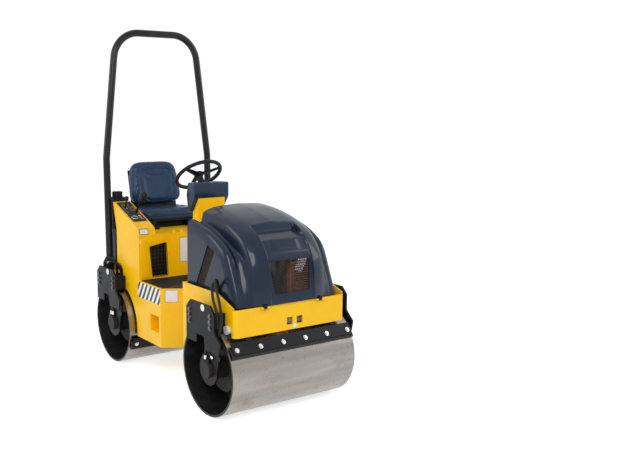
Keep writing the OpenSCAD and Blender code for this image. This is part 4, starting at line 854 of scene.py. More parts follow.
def soften(obj: Object, width: float, segments: int = 3, angle: float = 30.0) -> Object:
    """Rounds an object's sharp edges, by a width in millimetres.

    Args:
        obj: The object.
        width: Width of the rounding in millimetres.
        segments: Facets across it.
        angle: Least angle of a rounded edge.

    Returns:
        The object.
    """
    edge = obj.modifiers.new("edges", "BEVEL")
    edge.width, edge.segments, edge.limit_method = width * MM, segments, "ANGLE"
    edge.angle_limit = math.radians(angle)
    edge.harden_normals = False
    return baked(obj)


def hand_over(obj: Object, finish: Finish, body: Body, stands_for: Sequence[str] = (),
              sharp: float = 35.0) -> Object:
    """Gives a finished piece its look and its place in the frame.

    Args:
        obj: The piece, with no modifier left.
        finish: Its finish.
        body: The body that it rides on.
        stands_for: CAD nodes that it replaces.
        sharp: Angle in degrees from which an edge stays crisp.

    Returns:
        The piece.
    """
    obj.data.materials.clear()
    obj.data.materials.append(PAINT.of(finish))
    obj.data.polygons.foreach_set("material_index", [0] * len(obj.data.polygons))
    obj.data.shade_smooth()
    obj.data.set_sharp_from_angle(angle=math.radians(sharp))
    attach(obj, body.value)
    if stands_for:
        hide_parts(*stands_for)
    LOG.info("%s: %d faces, on %s", obj.name, len(obj.data.polygons), body.value)
    return obj


# Geometry Nodes for what repeats or follows a line


def make_group(name: str, build: Callable[[Tree, Node], NodeSocket],
               sizes: dict[str, float]) -> tuple[NodeTree, dict[str, str]]:
    """Builds a geometry group that ends in plain geometry with a material.

    Args:
        name: The group's name.
        build: Gives the geometry from the tree and the group's input node.
        sizes: Named sizes with their defaults, in metres.

    Returns:
        The group and the identifier of each input.
    """
    tree = Tree.group(name, "GeometryNodeTree")
    names = {"Geometry": tree.socket("Geometry", "NodeSocketGeometry")}
    for size, value in sizes.items():
        names[size] = tree.socket(size, "NodeSocketFloat", value)
    names["Material"] = tree.socket("Material", "NodeSocketMaterial")
    tree.socket("Geometry", "NodeSocketGeometry", out=True)
    given = tree.add("NodeGroupInput")
    plain = tree.add("GeometryNodeRealizeInstances", {0: build(tree, given)})
    coated = tree.add("GeometryNodeSetMaterial", {"Geometry": plain.outputs[0],
                                                  "Material": given.outputs["Material"]})
    tree.add("NodeGroupOutput", {0: coated.outputs[0]})
    return tree.nodes_of, names


def swept(tree: Tree, given: Node) -> NodeSocket:
    """A round section along every line of the input.

    Args:
        tree: The tree.
        given: The group's input node.

    Returns:
        The tubes.
    """
    line = tree.add("GeometryNodeMeshToCurve", {0: given.outputs["Geometry"]})
    sides = tree.add("FunctionNodeFloatToInt", {0: given.outputs["Sides"]})
    ring = tree.add("GeometryNodeCurvePrimitiveCircle", {"Resolution": sides.outputs[0],
                                                        "Radius": given.outputs["Radius"]})
    tube = tree.add("GeometryNodeCurveToMesh", {"Curve": line.outputs[0],
                                                "Profile Curve": ring.outputs[0], "Fill Caps": True})
    return tube.outputs[0]


def placed(tree: Tree, given: Node, parts: Sequence[NodeSocket]) -> NodeSocket:
    """The same small part on every point, its Z along the point's aim.

    Args:
        tree: The tree.
        given: The group's input node.
        parts: What each point gets.

    Returns:
        The instances.
    """
    whole = tree.add("GeometryNodeJoinGeometry")
    for part in parts:
        tree.link(part, whole.inputs[0])
    aim = tree.add("GeometryNodeInputNamedAttribute", {"Name": "aim"}, data_type="FLOAT_VECTOR")
    turn = tree.add("FunctionNodeAlignRotationToVector", {"Vector": aim.outputs[0]}, axis="Z")
    spots = tree.add("GeometryNodeInstanceOnPoints", {
        "Points": given.outputs["Geometry"], "Instance": whole.outputs[0], "Rotation": turn.outputs[0]})
    return spots.outputs[0]


def fastener(tree: Tree, given: Node) -> NodeSocket:
    """A hexagon head with a domed top on a washer.

    Args:
        tree: The tree.
        given: The group's input node.

    Returns:
        The bolt heads.
    """
    width, height = given.outputs["Width"], given.outputs["Height"]
    half = tree.math("MULTIPLY", width, 0.5)
    flat = tree.math("MULTIPLY", height, 0.22)
    washer = tree.add("GeometryNodeMeshCylinder", {
        "Vertices": 28, "Radius": tree.math("MULTIPLY", half, 1.32), "Depth": flat})
    head = tree.add("GeometryNodeMeshCone", {"Vertices": 6, "Radius Top": half, "Radius Bottom": half,
                                             "Depth": tree.math("MULTIPLY", height, 0.8)})
    top = tree.add("GeometryNodeMeshCone", {
        "Vertices": 6, "Radius Bottom": half, "Radius Top": tree.math("MULTIPLY", half, 0.72),
        "Depth": tree.math("MULTIPLY", height, 0.2)})
    level = tree.add("ShaderNodeCombineXYZ", {"Z": tree.math("MULTIPLY", height, 0.8)})
    raised = tree.add("GeometryNodeTransform", {"Geometry": top.outputs[0], "Translation": level.outputs[0]})
    return placed(tree, given, [washer.outputs[0], head.outputs[0], raised.outputs[0]])


def stitch(tree: Tree, given: Node) -> NodeSocket:
    """One thread stitch, long in the seam's direction.

    Args:
        tree: The tree.
        given: The group's input node.

    Returns:
        The stitches.
    """
    bead = tree.add("GeometryNodeMeshUVSphere", {"Segments": 6, "Rings": 5, "Radius": given.outputs["Width"]})
    long = tree.add("ShaderNodeCombineXYZ", {"X": 1.0, "Y": 1.0, "Z": given.outputs["Length"]})
    stretched = tree.add("GeometryNodeTransform", {"Geometry": bead.outputs[0], "Scale": long.outputs[0]})
    return placed(tree, given, [stretched.outputs[0]])


def rib(tree: Tree, given: Node) -> NodeSocket:
    """A straight rib, its length along X.

    Args:
        tree: The tree.
        given: The group's input node.

    Returns:
        The ribs.
    """
    size = tree.add("ShaderNodeCombineXYZ", {"X": given.outputs["Length"], "Y": given.outputs["Width"],
                                             "Z": given.outputs["Height"]})
    bar = tree.add("GeometryNodeMeshCube", {"Size": size.outputs[0]})
    return placed(tree, given, [bar.outputs[0]])


SWEEP = make_group("round section on lines", swept, {"Radius": 0.01, "Sides": 12.0})
FASTENER = make_group("bolt head on washer", fastener, {"Width": 0.02, "Height": 0.01})
STITCH = make_group("thread stitch", stitch, {"Width": 0.0008, "Length": 3.0})
RIB = make_group("straight rib", rib, {"Length": 0.1, "Width": 0.004, "Height": 0.003})


def grown(obj: Object, group: tuple[NodeTree, dict[str, str]], finish: Finish,
          **sizes: float) -> Object:
    """Runs a geometry group on an object and keeps the plain mesh.

    Args:
        obj: The points or lines.
        group: The group with its input names.
        finish: Finish of the result.
        sizes: The group's sizes, in metres.

    Returns:
        The object, its mesh plain.
    """
    tree, names = group
    made = obj.modifiers.new("grow", "NODES")
    made.node_group = tree
    for size, value in sizes.items():
        made[names[size]] = float(value)
    made[names["Material"]] = PAINT.of(finish)
    return baked(obj)


def lines_of(name: str, routes: Iterable[Sequence[Point]], closed: bool = False) -> Object:
    """An object of lines through the points of each route, given in millimetres.

    Args:
        name: Name of the object.
        routes: Points of each line, in millimetres.
        closed: True to join each end to its start.

    Returns:
        The lines.
    """
    points, edges = [], []
    for route in routes:
        first = len(points)
        points += [Vector(p) * MM for p in route]
        edges += [(i, i + 1) for i in range(first, len(points) - 1)]
        if closed:
            edges.append((len(points) - 1, first))
    mesh = bpy.data.meshes.new(name)
    mesh.from_pydata(points, edges, [])
    return linked(name, mesh)


def points_of(name: str, spots: Sequence[tuple[Point, Point]]) -> Object:
    """An object of points in millimetres, each with the direction it aims in.

    Args:
        name: Name of the object.
        spots: Place and direction of each point.

    Returns:
        The points.
    """
    mesh = bpy.data.meshes.new(name)
    mesh.from_pydata([Vector(p) * MM for p, _ in spots], [], [])
    aim = mesh.attributes.new("aim", "FLOAT_VECTOR", "POINT")
    aim.data.foreach_set("vector", [v for _, a in spots for v in Vector(a).normalized()])
    return linked(name, mesh)


def tubes(name: str, routes: Iterable[Sequence[Point]], finish: Finish, radius: float, sides: int,
          closed: bool = False) -> Object:
    """Makes round tubes along routes, in millimetres.

    Args:
        name: Name of the object.
        routes: Points of each line.
        finish: Finish of the tubes.
        radius: Their radius.
        sides: Facets round them.
        closed: True to join each end to its start.

    Returns:
        The tubes.
    """
    return grown(lines_of(name, routes, closed), SWEEP, finish, Radius=radius * MM, Sides=sides)


def bolt_heads(name: str, spots: Sequence[tuple[Point, Point]], finish: Finish,
               size: tuple[float, float]) -> Object:
    """Makes bolt heads on their washers, in millimetres.

    Args:
        name: Name of the object.
        spots: Place and direction of each head.
        finish: Finish of the heads.
        size: Width and height of a head.

    Returns:
        The heads.
    """
    return grown(points_of(name, spots), FASTENER, finish, Width=size[0] * MM, Height=size[1] * MM)


# Hydraulic hoses, the machine's only cords


@dataclass
class Hose:
    """A rubber hose between two fittings, through the same points as its solid."""

    name: str
    body: Body
    node: str
    route: tuple[Point, ...]
    width: float = 16.0
    steps: int = 6
    collar: float = 21.0
    collar_length: float = 26.0

    def line(self) -> list[Vector]:
        """The smooth line through the route, in millimetres.

        Returns:
            The curve.
        """
        p = [Vector(q) for q in self.route]
        out = []
        for i in range(len(p) - 1):
            a, b, c, d = p[max(i - 1, 0)], p[i], p[i + 1], p[min(i + 2, len(p) - 1)]
            for k in range(self.steps):
                t = k / self.steps
                out.append(0.5 * (2 * b + (c - a) * t + (2 * a - 5 * b + 4 * c - d) * t * t
                                  + (3 * b - a - 3 * c + d) * t ** 3))
        return out + [p[-1]]

    def ends(self, line: list[Vector]) -> Object:
        """Makes the crimped collar at each end.

        Args:
            line: The hose.

        Returns:
            The collars.
        """
        routes = []
        for end in (line, line[::-1]):
            reach, route = 0.0, [end[0]]
            for a, b in zip(end, end[1:]):
                reach += (b - a).length
                if reach > self.collar_length:
                    break
                route.append(b)
            routes.append(route)
        return tubes(f"{self.name}_collars", routes, PLATED, self.collar / 2, 24)

    def build(self) -> None:
        line = self.line()
        hose = tubes(self.name, [line], RUBBER, self.width / 2, 20)
        hand_over(hose, RUBBER, self.body, [self.node], sharp=60.0)
        collars = hand_over(self.ends(line), PLATED, self.body)
        path = [tuple(p * MM) for p in line]
        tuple(path[0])


HOSES = (
    Hose("rear_hose_out", Body.REAR, "rear_hoses", (
        (-386, 604, 608.3), (-386, 604, 622), (-386, 604, 640), (-389, 606, 660), (-402, 613, 688),
        (-424, 628, 715), (-446, 648, 726), (-463, 669, 714), (-470, 683, 684), (-470, 688, 640),
        (-468, 682, 580), (-465, 662, 495), (-459, 644, 435), (-455, 634, 392), (-454, 632, 366),
        (-454, 632, 345.5),
    )),
    Hose("rear_hose_back", Body.REAR, "rear_hoses", (
        (-386, 628, 608.3), (-386, 628, 622), (-386, 628, 640), (-388, 629, 658), (-398, 633, 681),
        (-414, 643, 707), (-430, 658, 735), (-445, 678, 752), (-459, 698, 754), (-470, 716, 726),
        (-472, 722, 680), (-470, 716, 610), (-466, 692, 510), (-459, 670, 440), (-455, 659, 395),
        (-454, 656, 366), (-454, 656, 345.5),
    )),
    Hose("front_hose_out", Body.FRONT, "front_hoses", (
        (-386, -640, 593.3), (-386, -640, 620), (-386, -640, 660), (-386, -641, 712),
        (-387, -645, 746), (-398, -656, 778), (-420, -676, 796), (-444, -702, 792), (-463, -730, 764),
        (-470, -752, 720), (-471, -780, 672), (-471, -798, 620), (-468, -802, 578), (-462, -792, 545),
        (-459, -765, 527), (-459, -725, 521), (-459, -690, 512), (-459, -666, 486), (-459, -655, 450),
        (-457, -647, 410), (-454.5, -640.5, 374), (-454, -639, 345.5),
    )),
    Hose("front_hose_back", Body.FRONT, "front_hoses", (
        (-386, -664, 593.3), (-386, -664, 620), (-386, -664, 660), (-386, -666, 722),
        (-387, -671, 768), (-398, -684, 804), (-420, -706, 824), (-444, -734, 822), (-461, -766, 796),
        (-466, -796, 748), (-465, -818, 690), (-465, -830, 630), (-467, -829, 578), (-471, -812, 533),
        (-475, -778, 509), (-475, -738, 503), (-475, -706, 500), (-475, -687, 483), (-474, -682, 456),
        (-472, -686, 428), (-470, -702, 403), (-468, -724, 386), (-467, -748.6, 375),
    )),
)


# The hood


@dataclass
class Hood:
    """The tilting moulded hood, lofted from a crown line and a crest line like its solid."""

    half: float = 375.0
    rear_y: float = -302.0
    front_y: float = -896.0
    foot_z: float = 673.0
    top_z: float = 1204.0
    wall: float = 5.0
    crown_y: tuple = (0, 0.165, 0.3333, 0.4848, 0.6094, 0.7037, 0.7795, 0.8485, 0.9057, 0.9529, 0.9798,
                      0.9966, 1)
    crown_z: tuple = (1, 0.9812, 0.9473, 0.9021, 0.8493, 0.8004, 0.7439, 0.6648, 0.5782, 0.4689, 0.3333,
                      0.1638, 0)
    crest_y: tuple = (0, 0.165, 0.3333, 0.4848, 0.5859, 0.6768, 0.734, 0.7744, 0.8114, 0.8451, 0.8754,
                      0.9024, 0.9192)
    crest_z: tuple = (0.8606, 0.8267, 0.7797, 0.7213, 0.6648, 0.5932, 0.5104, 0.42, 0.322, 0.2316, 0.1488,
                      0.0659, 0)
    groove: tuple = (40, 46, 50, 54, 54, 46, 30, 18, 12, 8, 6, 4, 0)
    column_x: tuple = (0, 0.4, 0.58, 0.68, 0.735, 0.8, 0.85, 0.92, 0.975, 1)
    column_crest: tuple = (0, 0, 0.02, 0.1, 0.6, 0.9, 1, 1, 1, 1)
    column_groove: tuple = (0, 0, 0, 0, 1, 0.75, 0.06, 0, 0, 0)
    column_drop: tuple = (0, 8, 20, 30, 12, 2, 4, 4, 22, 60)
    side_drop: float = 10.0
    recess: tuple = ((-664, 1130), (-678, 1074), (-782, 1036), (-830, 962), (-842, 935), (-880, 722),
                     (-886, 640))
    recess_half: float = 158.0
    window_half: tuple = (126.0, 149.0)
    window_z: tuple = (733.0, 922.0)
    window_corner: float = 22.0
    vent: tuple = ((-540, 1004), (-616, 970), (-490, 742), (-396, 730))
    vent_frame: tuple = ((-532, 1022), (-636, 976), (-500, 724), (-376, 712))
    opening_half: float = 328.3
    opening_top: float = 1082.0
    hinge: tuple = (-884.0, 664.0)
    knuckle: tuple = (190.3, 213.7)
    knuckle_d: float = 13.0
    rows_per_step: int = 13
    column_steps: tuple = ((0, 140, 14), (140, 176, 2.6), (176, 250, 9), (250, 322, 4), (322, 362, 6),
                           (362, 375, 1.3))
    side_rows: int = 22
    recess_most: float = 90.0
    badge_half: float = 96.0
    badge_z: tuple[float, float, float] = (982.0, 994.0, 1056.0)
    badge_rise: float = 3.0
    recess_edge: tuple[float, float] = (4.0, 9.0)
    rear_inset: float = 0.9985
    seam: float = 0.2
    cut_over: float = 30.0
    soft_edge: float = 10.0
    window_cut: tuple[float, float] = (-960.0, 190.0)
    vent_cut_x: tuple[float, float] = (-400.0, 340.0)
    vent_cut: float = 60.0
    vent_corner: float = 12.0
    screen_side: float = 7.0
    screen_z: tuple[float, float] = (-8.0, 7.0)
    screen_gap: float = 3.2
    vent_screen_in: float = 10.5
    knuckle_back: float = 6.0
    knuckle_top: float = 22.0
    wire_pitch: float = 5.2
    wire: float = 0.75

    def y_at(self, shares: Sequence[float]) -> np.ndarray:
        """Places along the machine from shares of the hood's length."""
        return self.rear_y + np.asarray(shares, float) * (self.front_y - self.rear_y)

    def z_at(self, shares: Sequence[float]) -> np.ndarray:
        """Heights from shares of the hood's height."""
        return self.foot_z + np.asarray(shares, float) * (self.top_z - self.foot_z)

    def columns(self) -> np.ndarray:
        """Column numbers from the middle to the foot of the side, close together where it bends.

        Returns:
            The numbers, whole at the columns of the tables.
        """
        k = np.arange(len(self.column_x), dtype=float)
        x = np.asarray(self.column_x) * self.half
        wanted = np.concatenate([np.arange(*step) for step in self.column_steps])
        fine = np.linspace(0, len(x) - 1, 4000)
        numbers = np.interp(wanted, smooth_run(k, x, fine), fine)
        return np.concatenate([numbers, np.linspace(9, 10, self.side_rows)])

    def recess_depth(self, y: np.ndarray, z: np.ndarray, n: np.ndarray) -> np.ndarray:
        """How deep the middle recess lies under each row of the crown line.

        Args:
            y: Place of each row along the machine.
            z: Height of each row.
            n: Direction into the hood at each row, in Y and Z.

        Returns:
            A depth in millimetres for each row.
        """
        corners = np.asarray(self.recess, float)
        depth = np.zeros(len(y))
        for i, (py, pz) in enumerate(zip(y, z)):
            best = 0.0
            for a, b in zip(corners, corners[1:]):
                side = np.array([[n[i, 0], a[0] - b[0]], [n[i, 1], a[1] - b[1]]])
                if abs(np.linalg.det(side)) < 1e-6:
                    continue
                t, s = np.linalg.solve(side, [a[0] - py, a[1] - pz])
                if -0.001 <= s <= 1.001 and 0 < t < self.recess_most and (best == 0.0 or t < best):
                    best = t
            depth[i] = best if py < corners[0][0] else 0.0
        for _ in range(3):
            depth[1:-1] = (depth[:-2] + 2 * depth[1:-1] + depth[2:]) / 4
        return depth

    def skin(self) -> np.ndarray:
        """Points of the outer skin, row by row from the rear edge.

        Returns:
            Rows and columns of points.
        """
        j = np.arange(len(self.crown_y), dtype=float)
        rows = np.linspace(0, j[-1], int(j[-1]) * self.rows_per_step + 1)
        crown = np.stack([smooth_run(j, self.y_at(self.crown_y), rows),
                          smooth_run(j, self.z_at(self.crown_z), rows)], 1)
        crest = np.stack([smooth_run(j, self.y_at(self.crest_y), rows),
                          smooth_run(j, self.z_at(self.crest_z), rows)], 1)
        groove = smooth_run(j, self.groove, rows)
        run = np.gradient(crown, axis=0)
        run /= np.linalg.norm(run, axis=1)[:, None]
        n = np.stack([-run[:, 1], run[:, 0]], 1)
        ease = np.clip(rows, 0, 1)[:, None]
        n = n * ease + np.array([0, -1]) * (1 - ease)
        n /= np.linalg.norm(n, axis=1)[:, None]
        k = np.arange(len(self.column_x), dtype=float)
        numbers = self.columns()
        held = np.clip(numbers, 0, 9)
        x = smooth_run(k, self.column_x, held) * self.half
        share = smooth_run(k, self.column_crest, held)[None, :]
        sunk = smooth_run(k, self.column_groove, held)[None, :]
        drop = smooth_run(k, self.column_drop, held)[None, :] + self.side_drop * np.clip(numbers - 9, 0, 1)
        depth = self.recess_depth(crown[:, 0], crown[:, 1], n)[:, None]
        beyond, width = self.recess_edge
        edge = np.array([settle(self.recess_half + beyond - v, 0, width) for v in x])[None, :]
        low_z, full_z, top_z = self.badge_z
        wide = np.array([settle(self.badge_half - v, 0, self.soft_edge) for v in x])[None, :]
        tall = np.array([settle(h, low_z, full_z) * settle(top_z - h, 0, self.soft_edge)
                         for h in crown[:, 1]])[:, None]
        badge = wide * tall
        d = ((drop + sunk * groove[:, None]) * (1 - edge) + np.maximum(drop, depth) * edge
             - self.badge_rise * badge * edge)
        y = crown[:, 0:1] * (1 - share) + crest[:, 0:1] * share + n[:, 0:1] * d
        z = crown[:, 1:2] * (1 - share) + crest[:, 1:2] * share + n[:, 1:2] * d
        low = np.clip(numbers - 9, 0, 1)[None, :]
        z = z * (1 - low) + self.foot_z * low
        y = np.minimum(y, self.rear_y)
        y[0, :] = self.rear_y
        z[-1, :] = self.foot_z
        z = np.maximum(z, self.foot_z)
        right = np.stack([np.broadcast_to(-x, y.shape), y, z], 2)[:, ::-1]
        left = np.stack([np.broadcast_to(x, y.shape), y, z], 2)[:, 1:]
        return np.concatenate([right, left], 1)

    def window_outline(self) -> list[Vector]:
        """The window's rounded outline in X and Z."""
        (low, high), (z0, z1) = self.window_half, self.window_z
        return rounded([(-low, z0), (low, z0), (high, z1), (-high, z1)], self.window_corner)

    def shell(self) -> Object:
        """Makes the hood's wall with its openings.

        Returns:
            The hood without its mesh.
        """
        points = self.skin()
        obj = Shape().grid(points).close("hood_shell_skin")
        up = sum(face.normal.z * face.area for face in obj.data.polygons)
        if up < 0:
            obj.data.flip_normals()
        wall = obj.modifiers.new("wall", "SOLIDIFY")
        wall.thickness, wall.offset, wall.use_even_offset = self.wall * MM, -1.0, False
        baked(obj)
        outline = [(p[0] * self.rear_inset, p[2] - 2 * self.seam) for p in points[0]]
        rear = Shape().slab(outline, self.rear_y - self.wall, self.wall - self.seam, Axis.Y)
        rear = rear.close("rear_wall")
        gap = Shape().box((-self.opening_half, self.rear_y - self.cut_over, self.foot_z - 9),
                          (self.opening_half, self.rear_y + self.cut_over, self.opening_top))
        carve(rear, gap.close("gap"))
        carve(obj, Shape().slab(self.window_outline(), *self.window_cut, Axis.Y).close("window"))
        for start in self.vent_cut_x:
            vent = Shape().slab(rounded(self.vent, self.vent_corner), start, self.vent_cut, Axis.X)
            carve(obj, vent.close("vent"))
        joined = bmesh.new()
        joined.from_mesh(obj.data)
        joined.from_mesh(rear.data)
        joined.to_mesh(obj.data)
        joined.free()
        bpy.data.objects.remove(rear)
        return obj

    def screen(self) -> Object:
        """Makes the wire mesh behind the window and the side vents.

        Returns:
            The wires.
        """
        (y1, z1), (y0, z0) = self.recess[4], self.recess[5]
        lean = (y1 - y0) / (z1 - z0)
        frame_z = [edge + reach for edge, reach in zip(self.window_z, self.screen_z)]
        half = self.window_half[1] + self.screen_side

        def at(x: float, z: float) -> tuple[float, float, float]:
            """A point on the screen behind the window."""
            return (x, y0 + (z - z0) * lean + self.wall + self.screen_gap, z)

        routes = [[at(x, frame_z[0]), at(x, frame_z[1])] for x in np.arange(-half, half, self.wire_pitch)]
        routes += [[at(-half, z), at(half, z)] for z in np.arange(*frame_z, self.wire_pitch)]
        for side in (-1, 1):
            routes += self.clipped(side * (self.half - self.vent_screen_in))
        return tubes("hood_wire_mesh", routes, MESH, self.wire, 4)

    def clipped(self, x: float) -> list[list[tuple[float, float, float]]]:
        """Wires across the side vent's frame, at one x.

        Args:
            x: The wires' place across the machine.

        Returns:
            The wires of one vent.
        """
        corners = [np.array(p, float) for p in self.vent_frame]
        routes = []
        for axis in (0, 1):
            low = min(p[axis] for p in corners)
            high = max(p[axis] for p in corners)
            for level in np.arange(low + 2, high - 2, self.wire_pitch):
                hits = []
                for a, b in zip(corners, corners[1:] + corners[:1]):
                    if (a[axis] - level) * (b[axis] - level) < 0:
                        t = (level - a[axis]) / (b[axis] - a[axis])
                        hits.append(a + (b - a) * t)
                if len(hits) == 2:
                    routes.append([(x, h[0], h[1]) for h in hits])
        return routes

    def hinges(self) -> Object:
        """Makes the two hinge knuckles at the front foot.

        Returns:
            The knuckles.
        """
        y, z = self.hinge
        shape = Shape()
        for side in (-1, 1):
            low, high = sorted((side * self.knuckle[0], side * self.knuckle[1]))
            r = self.knuckle_d / 2
            shape.lathe([(r - 1, 0), (r, 1), (r, high - low - 1), (r - 1, high - low)], (low, y, z), Axis.X)
            shape.box((low, y - r, z), (high, y + r + self.knuckle_back, z + self.knuckle_top))
        return shape.close("hood_hinge_knuckles")

    def build(self) -> None:
        """Makes the hood's pieces."""
        hand_over(self.shell(), HOOD, Body.HOOD, ["hood_shell"], sharp=40.0)
        hand_over(self.screen(), MESH, Body.HOOD, ["hood_grilles"], sharp=30.0)
        hand_over(self.hinges(), BLACK, Body.HOOD)


# The seat


@dataclass
class Pad:
    """A foam pad under vinyl: blown up from its solid, then sewn along its seams.

    The pad is shaped lying flat, with its crown up and its plan's middle at 0, and then takes its place.
    """

    name: str
    node: str
    place: Matrix
    seams: tuple[tuple[tuple[float, float], ...], ...]
    voxel: float = 5.5
    start_share: float = 0.985
    pressure: float = 4.0
    frames: int = 20
    cap: float = 7.0
    still: float = 0.15
    depth: float = 3.4
    seam_width: float = 3.2
    puff: float = 2.2
    puff_width: float = 20.0
    belt: float = 26.0
    stitch_pitch: float = 7.0
    stitch_off: float = 4.2
    thread: float = 0.8
    stitch_long: float = 2.6

    def blank(self) -> Object:
        """Copies the pad's solid, lays it flat, shrinks it a little and evens out its mesh.

        Returns:
            The even mesh.
        """
        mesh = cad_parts[self.node].data.copy()
        mesh.transform(self.place.inverted())
        spots = self.read(mesh)
        low, high = spots.min(0), spots.max(0)
        middle = (low + high) / 2
        middle[2] = low[2]
        spots = middle + (spots - middle) * self.start_share
        mesh.vertices.foreach_set("co", spots.ravel())
        obj = linked(self.name, mesh)
        even = obj.modifiers.new("even", "REMESH")
        even.mode, even.voxel_size, even.adaptivity = "VOXEL", self.voxel * MM, 0.0
        return baked(obj)

    def read(self, mesh: Mesh, what: str = "co") -> np.ndarray:
        """Points of a mesh, or what else its vertices hold.

        Args:
            mesh: The mesh.
            what: Property of the vertices.

        Returns:
            A row for each vertex.
        """
        out = np.empty(len(mesh.vertices) * 3)
        mesh.vertices.foreach_get(what, out)
        return out.reshape(-1, 3)

    def inflate(self, obj: Object) -> None:
        """Blows the pad up with Cloth, holding back how far any point moves.

        Args:
            obj: The blank.
        """
        start, facing = self.read(obj.data), self.read(obj.data, "normal")
        cloth = obj.modifiers.new("cloth", "CLOTH")
        cloth.settings.use_pressure = True
        cloth.settings.uniform_pressure_force = self.pressure
        cloth.settings.effector_weights.gravity = 0.0
        cloth.settings.quality = 4
        cloth.point_cache.frame_start, cloth.point_cache.frame_end = 1, self.frames
        for step in range(1, self.frames + 1):
            bpy.context.scene.frame_set(step)
        graph = bpy.context.evaluated_depsgraph_get()
        moved = self.read(obj.evaluated_get(graph).data).copy()
        obj.modifiers.clear()
        bpy.context.scene.frame_set(1)
        shift = moved - start
        far = np.maximum(np.linalg.norm(shift, axis=1), 1e-9)
        room = self.cap * MM * (self.still + (1 - self.still) * np.clip(facing[:, 2] + 0.35, 0, 1))
        shift *= np.minimum(1.0, room / far)[:, None]
        obj.data.vertices.foreach_set("co", (start + shift).ravel())

    def seam_gap(self, spots: np.ndarray) -> np.ndarray:
        """Distance in the plan from each point to the nearest seam, in millimetres.

        Args:
            spots: Points in metres.

        Returns:
            A gap for each.
        """
        gap = np.full(len(spots), 1e9)
        plan = spots[:, :2] / MM
        for seam in self.seams:
            for a, b in zip(seam, seam[1:]):
                a, run = np.array(a), np.array(b) - np.array(a)
                t = np.clip(((plan - a) @ run) / max(run @ run, 1e-9), 0, 1)
                gap = np.minimum(gap, np.linalg.norm(plan - a - t[:, None] * run, axis=1))
        return gap

    def sew(self, obj: Object) -> None:
        """Draws the cover in along the seams and round the belt, and lets it swell beside them.

        Args:
            obj: The blown up pad.
        """
        spots, facing = self.read(obj.data), self.read(obj.data, "normal")
        up = np.clip((facing[:, 2] - 0.35) / 0.3, 0, 1)
        gap = self.seam_gap(spots)
        pull = -self.depth * np.exp(-(gap / self.seam_width) ** 2)
        swell = self.puff * np.exp(-((gap - self.puff_width) / self.puff_width) ** 2)
        side = np.clip((0.6 - np.abs(facing[:, 2])) / 0.3, 0, 1)
        belt = -0.7 * self.depth * np.exp(-((spots[:, 2] / MM - self.belt) / self.seam_width) ** 2) * side
        spots = spots + facing * ((pull + swell) * up + belt)[:, None] * MM
        obj.data.vertices.foreach_set("co", spots.ravel())

    def stitches(self, skin: BVHTree) -> list[tuple[Vector, Vector]]:
        """Places for the thread: two rows along each seam, on the cover.

        Args:
            skin: The cover.

        Returns:
            Place and direction of each stitch.
        """
        out = []
        for seam in self.seams:
            run = [Vector((*p, 0.0)) for p in seam]
            travelled, due = 0.0, self.stitch_pitch / 2
            for a, b in zip(run, run[1:]):
                step = (b - a).length
                along = (b - a).normalized()
                across = Vector((-along.y, along.x, 0))
                while due <= travelled + step:
                    middle = a + along * (due - travelled)
                    for side in (-1, 1):
                        at = (middle + across * side * self.stitch_off) * MM
                        hit = skin.ray_cast(Vector((at.x, at.y, 0.5)), Vector((0, 0, -1)))
                        if hit[0] is not None and hit[1].z > 0.45:
                            lean = along - hit[1] * along.dot(hit[1])
                            out.append((hit[0] + hit[1] * 0.0002, lean))
                    due += self.stitch_pitch
                travelled += step
        return out

    def build(self) -> None:
        """Makes the pad and its thread."""
        obj = self.blank()
        self.inflate(obj)
        fine = obj.modifiers.new("fine", "SUBSURF")
        fine.levels = fine.render_levels = 1
        baked(obj)
        self.sew(obj)
        skin = BVHTree.FromObject(obj, bpy.context.evaluated_depsgraph_get())
        spots = [(self.place @ at / MM, self.place.to_3x3() @ lean) for at, lean in self.stitches(skin)]
        obj.data.transform(self.place)
        hand_over(obj, VINYL, Body.SEAT, [self.node], sharp=180.0)
        thread = grown(points_of(f"{self.name}_stitches", spots), STITCH, THREAD, Width=self.thread * MM,
                       Length=self.stitch_long)
        hand_over(thread, THREAD, Body.SEAT, sharp=180.0)


def powered(value: float, power: float) -> float:
    """Raises a cosine or sine to a power and keeps its sign."""
    return math.copysign(abs(value) ** power, value)


def ring_seam(half_x: float, half_y: float, corner: float,
              middle_y: float) -> tuple[tuple[float, float], ...]:
    """A seam that runs round a rounded panel.

    Args:
        half_x: Half its width.
        half_y: Half its length.
        corner: 2 for an oval, more for squarer corners.
        middle_y: Its middle.

    Returns:
        Points of the seam.
    """
    out = []
    for k in range(SEAM_STEPS + 1):
        turn = 2 * math.pi * (k / SEAM_STEPS)
        out.append((half_x * powered(math.cos(turn), 2 / corner),
                    middle_y + half_y * powered(math.sin(turn), 2 / corner)))
    return tuple(out)


def arc_seam(half_x: float, middle_y: float, rise: float) -> tuple[tuple[float, float], ...]:
    """A seam that bows across the pad, with its ends lower than its middle by the rise."""
    return tuple((x, middle_y - rise * (x / half_x) ** 2) for x in np.linspace(-half_x, half_x, 33))


